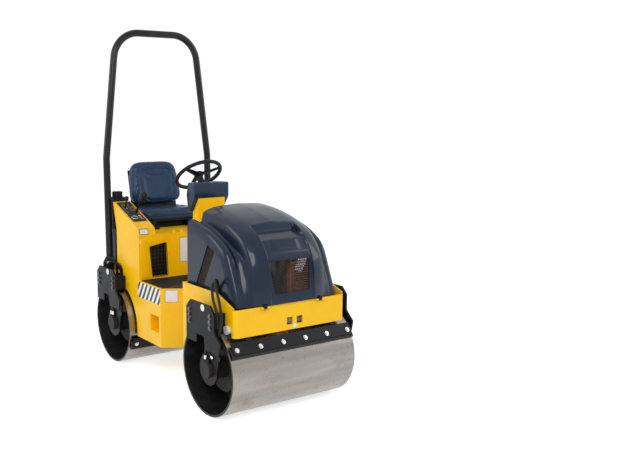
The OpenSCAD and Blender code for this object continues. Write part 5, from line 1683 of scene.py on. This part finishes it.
@dataclass
class Seat:
    """The operator's seat: cushion and back in their pan, over a folded rubber boot."""

    cushion_at: tuple[float, float, float] = (0.0, 679.5, 1012.0)
    back_at: tuple[float, float, float] = (0.0, 801.0, 1104.0)
    back_tilt: float = 78.0
    back_half_h: float = 163.0
    back_low: float = -38.0
    boot_half: float = 122.0
    boot_y: tuple[float, float] = (585.0, 790.0)
    boot_z: tuple[float, float] = (954.0, 1001.3)
    boot_folds: int = 5
    boot_fold: float = 7.0
    boot_corner: float = 24.0

    def boot(self) -> None:
        """Makes the folded rubber boot between the pan and the seat base."""
        (y0, y1), (z0, z1), rings = self.boot_y, self.boot_z, []
        for k in range(2 * self.boot_folds + 1):
            inset = self.boot_fold * (k % 2)
            x, low, high = self.boot_half - inset, y0 + inset, y1 - inset
            level = z0 + (z1 - z0) * k / (2 * self.boot_folds)
            ring = rounded([(-x, low), (x, low), (x, high), (-x, high)], self.boot_corner)
            rings.append([(p.x, p.y, level) for p in ring])
        hand_over(soften(Shape().loops(rings).close("seat_boot"), 1.2, 2), RUBBER, Body.SEAT)

    def build(self) -> None:
        """Makes both pads and the boot."""
        self.boot()
        flat = Matrix.Translation(Vector(self.cushion_at) * MM)
        Pad("seat_cushion_vinyl", "seat_cushion", flat, (
            ring_seam(150, 96, 3.2, 14.0),
        ), belt=24.0).build()
        upright = (Matrix.Translation(Vector(self.back_at) * MM)
                   @ Matrix.Rotation(math.radians(self.back_tilt), 4, "X")
                   @ Matrix.Translation(Vector((0, self.back_half_h, self.back_low)) * MM))
        Pad("seat_back_vinyl", "seat_back", upright, (
            ring_seam(134, 128, 3.0, -14.0),
            arc_seam(84, 100, 12.0),
            arc_seam(84, 52, -14.0),
        ), belt=24.0).build()


# Fasteners, plates, dash and controls


@dataclass
class Fasteners:
    """Bolt heads of the two arms and the scraper at one drum."""

    name: str
    body: Body
    node: str
    axle_y: float
    lean: float
    face_x: float = ARM_X
    arm_y: tuple[float, float] = (120.0, -108.0)
    arm_z: tuple[float, float, float] = (560.0, 594.0, 628.0)
    head: tuple[float, float] = (25.0, 9.0)
    axle_z: float = 280.0
    bar_radius: float = 307.0
    bar_pitch: float = 162.8
    bar_count: int = 6
    bar_head: tuple[float, float] = (22.0, 9.0)

    def arm_spots(self) -> list[tuple[Point, Point]]:
        """Places of the bolts on both arms."""
        return [((side * self.face_x, self.axle_y + y, z), (side, 0, 0))
                for side in (-1, 1) for y in self.arm_y for z in self.arm_z]

    def bar_spots(self) -> list[tuple[Point, Point]]:
        """Places of the bolts along the scraper bar.

        Returns:
            Place and direction of each bolt.
        """
        a = math.radians(self.lean)
        y = self.axle_y - self.bar_radius * math.cos(a)
        z = self.axle_z + self.bar_radius * math.sin(a)
        middle = (self.bar_count - 1) / 2
        return [(((i - middle) * self.bar_pitch, y, z), (0, -math.cos(a), math.sin(a)))
                for i in range(self.bar_count)]

    def build(self) -> None:
        """Makes both sets of heads with their washers."""
        for part, spots, size, finish in (("arm", self.arm_spots(), self.head, OXIDE),
                                          ("scraper", self.bar_spots(), self.bar_head, PLATED)):
            heads = bolt_heads(f"{self.name}_{part}_bolts", spots, finish, size)
            hand_over(heads, finish, self.body, [self.node], sharp=25.0)


def tile(shape: Shape, at: Point, right: Point, up: Point, size: tuple[float, float], thick: float,
         corner: float = 3.0) -> Shape:
    """Adds a thin plate with rounded corners that lies on a face.

    Args:
        shape: What the plate is added to.
        at: Middle of the plate's back.
        right: Direction of its width.
        up: Direction of its height.
        size: Width and height.
        thick: Thickness, outwards from the face.
        corner: Corner radius.

    Returns:
        The shape.
    """
    at, right, up = Vector(at), Vector(right).normalized(), Vector(up).normalized()
    out = right.cross(up)
    w, h = size[0] / 2, size[1] / 2
    flat = rounded([(-w, -h), (w, -h), (w, h), (-w, h)], corner)
    return shape.loops([[at + right * p.x + up * p.y + out * level for p in flat]
                        for level in (0.0, thick * 0.7, thick)])


@dataclass
class Plates:
    """Bare plates and striped film where the machine carries its signs."""

    side_x: float = 405.0
    stripe_y: tuple[float, float] = (8.0, 322.0)
    stripe_z: tuple[float, float] = (529.0, 635.0)
    nose: tuple[float, float] = (-343.5, -35.7)
    nose_run: tuple[float, float, float] = (155.0, -90.0, 0.0)
    panel_y: float = 300.0
    disc_back: float = 28.0
    disc_z: float = 664.0
    nose_z: float = 592.0
    nose_size: tuple[float, float] = (86.0, 84.0)
    panel_at: tuple[float, float] = (-52.0, 828.0)
    panel_size: tuple[float, float] = (72.0, 176.0)
    console_plate_at: tuple[float, float, float] = (-362.0, 310.0, 976.5)
    console_plate_size: tuple[float, float] = (68.0, 44.0)
    console_up: tuple[float, float, float] = (0.0, 20.0, 47.0)
    console_border: float = 5.0
    axles: tuple[float, float] = (-AXLE_Y, AXLE_Y)
    film: float = 0.8
    arm_x: float = ARM_X
    arm_disc: tuple[float, float] = (20.5, 19.8)
    bumper_disc: tuple[float, float] = (14.0, 13.4)
    bumper_at: tuple[float, float, float] = (22.0, -875.0, 528.0)
    console_disc: tuple[float, float] = (20.0, 19.4)
    console_at: tuple[float, float, float] = (-379.0, 300.0, 908.0)

    def stripes(self) -> None:
        """Makes the striped film under the floor's edge, on both sides."""
        shape = Shape()
        y, z = sum(self.stripe_y) / 2, sum(self.stripe_z) / 2
        size = (self.stripe_y[1] - self.stripe_y[0], self.stripe_z[1] - self.stripe_z[0])
        for side in (-1, 1):
            tile(shape, (side * self.side_x, y, z), (0, side, 0), (0, 0, 1), size, self.film)
        hand_over(shape.close("striped_film_sides"), STRIPES, Body.REAR)

    def framed(self, name: str, body: Body, at: Point, right: Point, size: tuple[float, float],
               up: Point = (0, 0, 1), border: float = 3.0) -> None:
        """Makes a blank plate with a thin border.

        Args:
            name: Its name.
            body: The body that it rides on.
            at: Its middle.
            right: Its direction to the right.
            size: Width and height.
            up: Its direction upwards.
            border: Width of the border.
        """
        edge = tile(Shape(), at, right, up, size, 0.7).close(f"{name}_border")
        hand_over(edge, RIM, body)
        inner = (size[0] - 2 * border, size[1] - 2 * border)
        hand_over(tile(Shape(), at, right, up, inner, 1.1, 2.0).close(name), BLANK, body)

    def disc(self, shape: Shape, radii: tuple[float, float], at: Point, axis: Axis, way: int) -> None:
        """Adds a thin round plate that looks along an axis, or the other way where way is -1."""
        shape.lathe([(radii[0], 0), (radii[0], way * 0.6), (radii[1], way * 1.0)], at, axis)

    def discs(self) -> None:
        """Makes the small round plates on the arms, the bumper and the console."""
        own = ((Body.FRONT, self.bumper_disc, self.bumper_at),
               (Body.REAR, self.console_disc, self.console_at))
        for axle, (body, radii, at) in zip(self.axles, own):
            shape = Shape()
            for side in (-1, 1):
                self.disc(shape, self.arm_disc, (side * self.arm_x, axle - self.disc_back, self.disc_z),
                          Axis.X, side)
            self.disc(shape, radii, at, Axis.Y, -1)
            hand_over(shape.close(f"round_plates_{body.value}"), BLANK, body)

    def build(self) -> None:
        """Makes every plate."""
        self.stripes()
        self.framed("nose_plate", Body.REAR, (*self.nose, self.nose_z), self.nose_run, self.nose_size)
        x, z = self.panel_at
        self.framed("panel_plate", Body.REAR, (x, self.panel_y, z), (1, 0, 0), self.panel_size)
        self.framed("console_plate", Body.REAR, self.console_plate_at, (1, 0, 0), self.console_plate_size,
                    self.console_up, border=self.console_border)
        self.discs()


@dataclass
class Door:
    """The access door on the seat base, a shallow pressed panel round the vent."""

    panel_y: float = 300.0
    x: tuple[float, float] = (-392.0, -168.0)
    z: tuple[float, float] = (652.0, 936.0)
    vent: tuple = ((-304, 662), (-185, 662), (-195, 889), (-324, 869))
    corner: float = 14.0
    vent_corner: float = 12.0
    proud: float = 2.4
    lip: float = 2.2
    open_share: float = 1.02
    foam_share: float = 1.2
    foam_back: float = 22.0
    foam: float = 4.0
    cut_over: float = 20.0

    def build(self) -> None:
        """Makes the door, its rubber lip round the vent and the filter foam behind the mesh."""
        (x0, x1), (z0, z1) = self.x, self.z
        door = Shape().slab(rounded([(x0, z0), (x1, z0), (x1, z1), (x0, z1)], self.corner),
                            self.panel_y - self.proud, self.proud - 0.1, Axis.Y).close("seat_base_door")
        middle = Vector((sum(p[0] for p in self.vent) / 4, sum(p[1] for p in self.vent) / 4))
        opening, foam = (rounded([middle + (Vector(p) - middle) * share for p in self.vent],
                                 self.vent_corner) for share in (self.open_share, self.foam_share))
        cut = Shape().slab(opening, self.panel_y - self.cut_over, 2 * self.cut_over, Axis.Y)
        carve(door, cut.close("vent_cut"))
        hand_over(soften(door, 0.9, 2), YELLOW, Body.REAR)
        sheet = Shape().slab(foam, self.panel_y + self.foam_back, self.foam, Axis.Y)
        hand_over(soften(sheet.close("vent_filter_foam"), 0.8, 2), RUBBER, Body.REAR)
        lip = [(p.x, self.panel_y - self.proud - 0.6, p.y) for p in opening]
        hand_over(tubes("vent_lip", [lip], RUBBER, self.lip, 10, closed=True), RUBBER, Body.REAR)


@dataclass
class Dash:
    """The moulded dash box with its soft edges, drawn-in rear face and two switches' collars."""

    half: float = 137.0
    y: tuple = (10.0, 82.0, 107.0, 120.0, 100.0)
    z: tuple = (1219.0, 1119.0, 1164.0, 1231.0, 1316.0)
    soft: float = 10.0
    seam_z: float = 1224.0
    switch_x: float = 96.0
    switch_z: float = 1282.0
    collar: tuple = ((15, 0), (15, 2.2), (13.4, 3.2), (11.4, 3.2), (11.4, 0.4))
    seam_y: tuple[float, float] = (-9.0, 3.0)
    seam_width: float = 2.5
    seam_over: float = 5.0

    def outline(self) -> list[tuple[float, float]]:
        """Side view of the box."""
        y, z = self.y, self.z
        return [(y[0], z[0]), (y[0], z[4]), (y[4], z[4]), (y[3], z[3]), (y[2], z[2]), (y[1], z[1])]

    def build(self) -> None:
        """Makes the box, its panel joint and the collars."""
        box = Shape().slab(self.outline(), -self.half, 2 * self.half).close("dash_box_moulding")
        soften(box, self.soft, 5, 22.0)
        y0, y1 = (self.y[0] + reach for reach in self.seam_y)
        z0, z1 = self.seam_z, self.seam_z + self.seam_width
        groove = Shape().slab([(y0, z0), (y1, z0), (y1, z1), (y0, z1)], -self.half - self.seam_over,
                              2 * (self.half + self.seam_over))
        carve(box, groove.close("dash_groove"))
        hand_over(box, DASH, Body.REAR, ["dash_box"], sharp=32.0)
        lean = math.atan2(self.y[3] - self.y[4], self.z[4] - self.z[3])
        turn = Matrix.Rotation(lean - math.pi / 2, 4, "X")
        level = self.switch_z
        y = self.y[3] - (level - self.z[3]) * math.tan(lean)
        collars = Shape()
        for x in (-self.switch_x, self.switch_x):
            part = Shape().lathe(self.collar, (0, 0, 0), Axis.Z)
            collars.join(part, Matrix.Translation((x, y, level)) @ turn)
        hand_over(collars.close("dash_switch_collars"), PLATED, Body.REAR)


@dataclass
class Wheel:
    """The steering wheel: a rim with finger grips, three flat spokes and a domed hub."""

    centre: tuple[float, float, float] = (0.0, 181.0, 1358.0)
    tilt: float = -37.6
    rim: float = 156.5
    rim_half: float = 13.3
    grip: float = 1.0
    grips: int = 30
    hub: float = 31.0
    hub_half: float = 16.8
    spokes: tuple[float, float, float] = (90.0, 210.0, 330.0)
    spoke_width: tuple[float, float] = (50.0, 27.0)
    spoke_half: float = 5.2
    spoke_start: float = 12.0
    rim_steps: int = 240
    rim_facets: int = 20
    spoke_steps: int = 8
    spoke_facets: int = 16

    def build(self) -> None:
        """Makes the wheel."""
        shape = Shape()
        rings = []
        for k in range(self.rim_steps + 1):
            turn = 2 * math.pi * (k % self.rim_steps) / self.rim_steps
            ring = []
            for s in range(self.rim_facets):
                a = 2 * math.pi * s / self.rim_facets
                under = max(0.0, -math.sin(a)) * max(0.0, 0.4 - math.cos(a))
                r = self.rim_half - self.grip * under * (1 + math.cos(turn * self.grips))
                reach = self.rim + r * math.cos(a)
                ring.append((reach * math.cos(turn), reach * math.sin(turn), r * math.sin(a)))
            rings.append(ring)
        shape.loops(rings, capped=False)
        h = self.hub_half
        shape.lathe([(self.hub - 4, -h), (self.hub, -h + 4), (self.hub, h - 7), (self.hub - 3, h - 2.5),
                     (self.hub - 9, h - 0.5), (1, h)], (0, 0, 0), Axis.Z)
        for angle in self.spokes:
            a = math.radians(angle)
            along, across = Vector((math.cos(a), math.sin(a), 0)), Vector((-math.sin(a), math.cos(a), 0))
            rings = []
            for k in range(self.spoke_steps + 1):
                t = k / self.spoke_steps
                reach = self.spoke_start + (self.rim - self.spoke_start) * t
                near, far = self.spoke_width
                half = (near * (1 - t) ** 1.5 + far * (1 - (1 - t) ** 1.5)) / 2
                half *= 1 + 0.25 * settle(t, 0.8, 1.0)
                rise = 1.5 - 2.5 * math.sin(math.pi * t)
                ring = []
                for s in range(self.spoke_facets):
                    b = 2 * math.pi * s / self.spoke_facets
                    wide = half * powered(math.cos(b), 0.5)
                    tall = self.spoke_half * powered(math.sin(b), 0.7)
                    ring.append(along * reach + across * wide + Vector((0, 0, tall + rise)))
                rings.append(ring)
            shape.loops(rings)
        shape.bm.transform(Matrix.Translation(self.centre) @ Matrix.Rotation(math.radians(self.tilt), 4, "X"))
        hand_over(shape.close("steering_wheel_moulding"), PLASTIC, Body.WHEEL, ["steering_wheel"], sharp=40.0)


@dataclass
class Console:
    """Trim of the right console's sloping panels: borders, a plain gauge, buttons and lever marks."""

    corner: tuple[float, float, float] = (-405.0, 384.0, 1030.0)
    rise: float = math.atan2(119.0, 306.0)
    length: float = 328.3
    inset: float = 14.0
    width: float = 102.0
    spans: tuple = ((0.06, 0.36), (0.40, 0.94))
    thick: float = 4.0
    border: float = 1.7
    border_corner: float = 5.0
    gauge_at: tuple[float, float] = (45, 68)
    gauge_ring: tuple = ((24, -1), (24, 3), (22.5, 4.5), (20.5, 4.5), (19.5, 1.2))
    gauge_face: tuple = ((19.8, -0.5), (19.8, 1.4), (0.5, 1.4))
    needle: tuple[float, float] = (1.1, 14)
    button_x: float = 92.0
    button_along: tuple = (48, 72, 96)
    button_ring: tuple = ((8.5, -1), (8.5, 2), (7.6, 3), (6.2, 3), (6.2, 0.5))
    button: tuple = ((5.9, -0.5), (5.9, 4.4), (4.8, 5.6), (0.4, 5.8))
    mark_rows: tuple = ((30.5, 150, 17), (79, 172, 15))
    mark_count: int = 7
    mark_long: float = 9.0
    mark_short: float = 5.5
    mark_width: float = 1.6

    def at(self, x: float, along: float, up: float) -> Vector:
        """A point on the slope: from its outer edge, up the slope and off it.

        Args:
            x: Distance from the outer edge.
            along: Distance up the slope.
            up: Height off it.

        Returns:
            The point.
        """
        run = Vector((0, math.cos(self.rise), math.sin(self.rise)))
        out = Vector((0, -math.sin(self.rise), math.cos(self.rise)))
        return Vector(self.corner) + Vector((x, 0, 0)) + run * along + out * up

    def build(self) -> None:
        """Makes the trim."""
        x0, x1 = self.inset, self.inset + self.width
        for name, span in zip(("console_borders", "console_rear_border"), self.spans):
            low, high = (share * self.length for share in span)
            flat = rounded([(x0, low), (x1, low), (x1, high), (x0, high)], self.border_corner)
            rim = [self.at(p.x, p.y, self.thick) for p in flat]
            hand_over(tubes(name, [rim], PLASTIC, self.border, 10, closed=True), PLASTIC, Body.REAR)
        turn = Matrix.Rotation(self.rise, 4, "X")
        bezel, face, buttons, marks = Shape(), Shape(), Shape(), Shape()

        def turned(target: Shape, profile: Sequence[Point], x: float, along: float) -> None:
            """Adds a turned part that stands on the panel.

            Args:
                target: The shape that it joins.
                profile: Radius and height pairs.
                x: Distance from the outer edge.
                along: Distance up the slope.
            """
            part = Shape().lathe(profile, (0, 0, 0), Axis.Z, 36)
            target.join(part, Matrix.Translation(self.at(x, along, self.thick)) @ turn)

        turned(bezel, self.gauge_ring, *self.gauge_at)
        turned(face, self.gauge_face, *self.gauge_at)
        for along in self.button_along:
            turned(bezel, self.button_ring, self.button_x, along)
            turned(buttons, self.button, self.button_x, along)
        right, up = (1, 0, 0), self.at(0, 1, 0) - self.at(0, 0, 0)
        for k in range(self.mark_count):
            length = self.mark_long if k % 3 == 0 else self.mark_short
            for x, start, pitch in self.mark_rows:
                tile(marks, self.at(x, start + k * pitch, self.thick), right, up,
                     (length, self.mark_width), 0.4, 0.5)
        x, along = self.gauge_at
        tile(marks, self.at(x, along + 6, self.thick + 1.35), right, up, self.needle, 0.4, 0.4)
        hand_over(bezel.close("console_bezels"), PLATED, Body.REAR)
        hand_over(face.close("console_gauge_face"), PLASTIC, Body.REAR)
        hand_over(buttons.close("console_buttons"), RED, Body.REAR)
        hand_over(marks.close("console_lever_marks"), BLANK, Body.REAR)


@dataclass
class Mat:
    """Ribs of the rubber floor mat."""

    top: float = 645.0
    y: tuple[float, float] = (30.0, 288.0)
    half: float = 372.0
    column: tuple[float, float] = (114.0, 96.0)
    pitch: float = 11.0
    rib: tuple[float, float] = (4.4, 2.0)

    def build(self) -> None:
        """Makes the ribs in front of the column's foot and on both sides of it."""
        rows = np.arange(*self.y, self.pitch)
        full = [((0, y, self.top), (0, 0, 1)) for y in rows if y > self.column[1]]
        near = [y for y in rows if y <= self.column[1]]
        short = self.half - self.column[0]
        part = [((side * (self.half + self.column[0]) / 2, y, self.top), (0, 0, 1))
                for y in near for side in (-1, 1)]
        for name, spots, length in (("mat_ribs", full, 2 * self.half), ("mat_side_ribs", part, short)):
            ribs = grown(points_of(name, spots), RIB, RUBBER, Length=length * MM, Width=self.rib[0] * MM,
                         Height=self.rib[1] * MM)
            soften(ribs, 0.6, 1, 60.0)
            hand_over(ribs, RUBBER, Body.REAR)


@dataclass
class HoopNuts:
    """Nuts on the studs of the roll-over hoop's feet."""

    x: float = 443.0
    y: tuple[float, float] = (710.2, 771.8)
    z: float = 712.0
    size: tuple[float, float] = (24.0, 9.0)

    def build(self) -> None:
        """Makes the nuts."""
        spots = [((side * self.x, y, self.z), (0, 0, 1)) for side in (-1, 1) for y in self.y]
        hand_over(bolt_heads("hoop_foot_nuts", spots, PLATED, self.size), PLATED, Body.REAR, sharp=25.0)


# Camera, light and floor


@dataclass
class Studio:
    """The photograph's camera, soft plain light and a pale floor. Metres here."""

    place: tuple[float, float, float] = (-2.80371, -4.48919, 1.74863)
    yaw: float = 0.573648
    pitch: float = 0.141264
    roll: float = 0.00295165
    lens: float = 44.763
    shift: tuple[float, float] = (0.14789, -0.00078)
    floor_half: float = 30.0
    floor_tone: Colour = (0.80, 0.80, 0.80)
    floor_glow: float = 0.64
    sky_tone: Colour = (0.93, 0.96, 1.0)
    sky_light: float = 0.5
    lamps: tuple = (("front_softbox", (-3.6, -4.4, 4.6), (0.0, -0.2, 0.8), 3.2, 200.0),
                    ("side_softbox", (-5.2, 2.4, 3.4), (0.0, 0.2, 0.9), 3.0, 90.0),
                    ("far_softbox", (4.8, -3.2, 3.2), (0.0, -0.3, 0.8), 3.0, 80.0))

    def camera(self) -> None:
        """Makes the camera at the photograph's place and angle."""
        ahead = Vector((math.sin(self.yaw) * math.cos(self.pitch), math.cos(self.yaw) * math.cos(self.pitch),
                        -math.sin(self.pitch)))
        level = Vector((math.cos(self.yaw), -math.sin(self.yaw), 0))
        down = ahead.cross(level)
        right = level * math.cos(self.roll) + down * math.sin(self.roll)
        low = down * math.cos(self.roll) - level * math.sin(self.roll)
        data = bpy.data.cameras.new("photo_camera")
        data.sensor_fit, data.sensor_width, data.lens = "HORIZONTAL", 36.0, self.lens
        data.shift_x, data.shift_y = self.shift
        data.clip_start, data.clip_end = 0.05, 200.0
        made = bpy.data.objects.new("photo_camera", data)
        turn = Matrix((right, -low, -ahead)).transposed().to_4x4()
        made.matrix_world = Matrix.Translation(self.place) @ turn
        bpy.context.scene.collection.objects.link(made)
        bpy.context.scene.camera = made

    def lamp(self, name: str, at: Point, aim: Point, size: float, power: float) -> None:
        """Makes a square soft lamp that looks at a point.

        Args:
            name: Its name.
            at: Where it stands.
            aim: Where it looks.
            size: Its side in metres.
            power: Its power in watts.
        """
        data = bpy.data.lights.new(name, "AREA")
        data.shape, data.size, data.energy = "SQUARE", size, power
        made = bpy.data.objects.new(name, data)
        look = (Vector(aim) - Vector(at)).to_track_quat("-Z", "Y")
        made.matrix_world = Matrix.Translation(at) @ look.to_matrix().to_4x4()
        bpy.context.scene.collection.objects.link(made)

    def seen(self, tree: Tree) -> NodeSocket:
        """1 where the camera, a reflection or glass looks at the surface.

        Args:
            tree: The tree.

        Returns:
            The mask.
        """
        path = tree.add("ShaderNodeLightPath").outputs
        shiny = tree.math("MAXIMUM", path["Is Camera Ray"], path["Is Glossy Ray"])
        return tree.math("MAXIMUM", shiny, path["Is Transmission Ray"])

    def sky(self) -> None:
        """Makes an even pale surround."""
        world = bpy.data.worlds.new("pale_surround")
        bpy.context.scene.world = world
        tree = Tree.on(world)
        lit = tree.add("ShaderNodeBackground", {"Color": (*self.sky_tone, 1.0), "Strength": self.sky_light})
        shown = tree.add("ShaderNodeBackground", {"Color": (1.0, 1.0, 1.0, 1.0), "Strength": 1.0})
        both = tree.add("ShaderNodeMixShader", {0: self.seen(tree), 1: lit.outputs[0], 2: shown.outputs[0]})
        tree.add("ShaderNodeOutputWorld", {0: both.outputs[0]})

    def floor(self) -> None:
        """Makes the pale floor, which keeps the machine's shadow."""
        h = self.floor_half
        mesh = bpy.data.meshes.new("studio_floor")
        mesh.from_pydata([(-h, -h, 0), (h, -h, 0), (h, h, 0), (-h, h, 0)], [], [(0, 1, 2, 3)])
        obj = linked("studio_floor", mesh)
        paint = bpy.data.materials.new("pale_floor")
        tree = Tree.on(paint)
        tone = tree.add("ShaderNodeBsdfPrincipled", {"Base Color": (*self.floor_tone, 1.0), "Roughness": 0.9,
                                                     "Specular IOR Level": 0.1})
        strength = tree.math("MULTIPLY", self.seen(tree), self.floor_glow)
        glow = tree.add("ShaderNodeEmission", {"Color": (1.0, 1.0, 1.0, 1.0), "Strength": strength})
        both = tree.add("ShaderNodeAddShader", {0: tone.outputs[0], 1: glow.outputs[0]})
        tree.add("ShaderNodeOutputMaterial", {"Surface": both.outputs[0]})
        mesh.materials.append(paint)
        obj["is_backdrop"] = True

    def build(self) -> None:
        """Makes the light and the floor."""
        bpy.context.scene.view_settings.view_transform = "Standard"
        self.sky()
        self.floor()
        for lamp in self.lamps:
            self.lamp(*lamp)


def plain(box: Iterable[Iterable[float]]) -> list[list[float]]:
    """A box's corners as plain lists."""
    return [[float(v) for v in corner] for corner in box]


def main() -> None:
    """Builds the scene: camera and hoses first, then every sub-assembly."""
    logging.basicConfig(level=logging.INFO, format="%(name)s: %(message)s")
    studio = Studio()
    studio.camera()
    for hose in HOSES:
        hose.build()
    PAINT.dress_nodes()
    for part in (Hood(), Seat(), Dash(), Wheel(), Console(), Door(), Mat(), Plates(), HoopNuts(),
                 Fasteners("front", Body.FRONT, "front_bolts", -AXLE_Y, 34.0),
                 Fasteners("rear", Body.REAR, "rear_bolts", AXLE_Y, -18.0), studio):
        part.build()
    {"cad": plain(CAD_BOX), "visual": plain(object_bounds())}


if __name__ == "__main__":
    main()
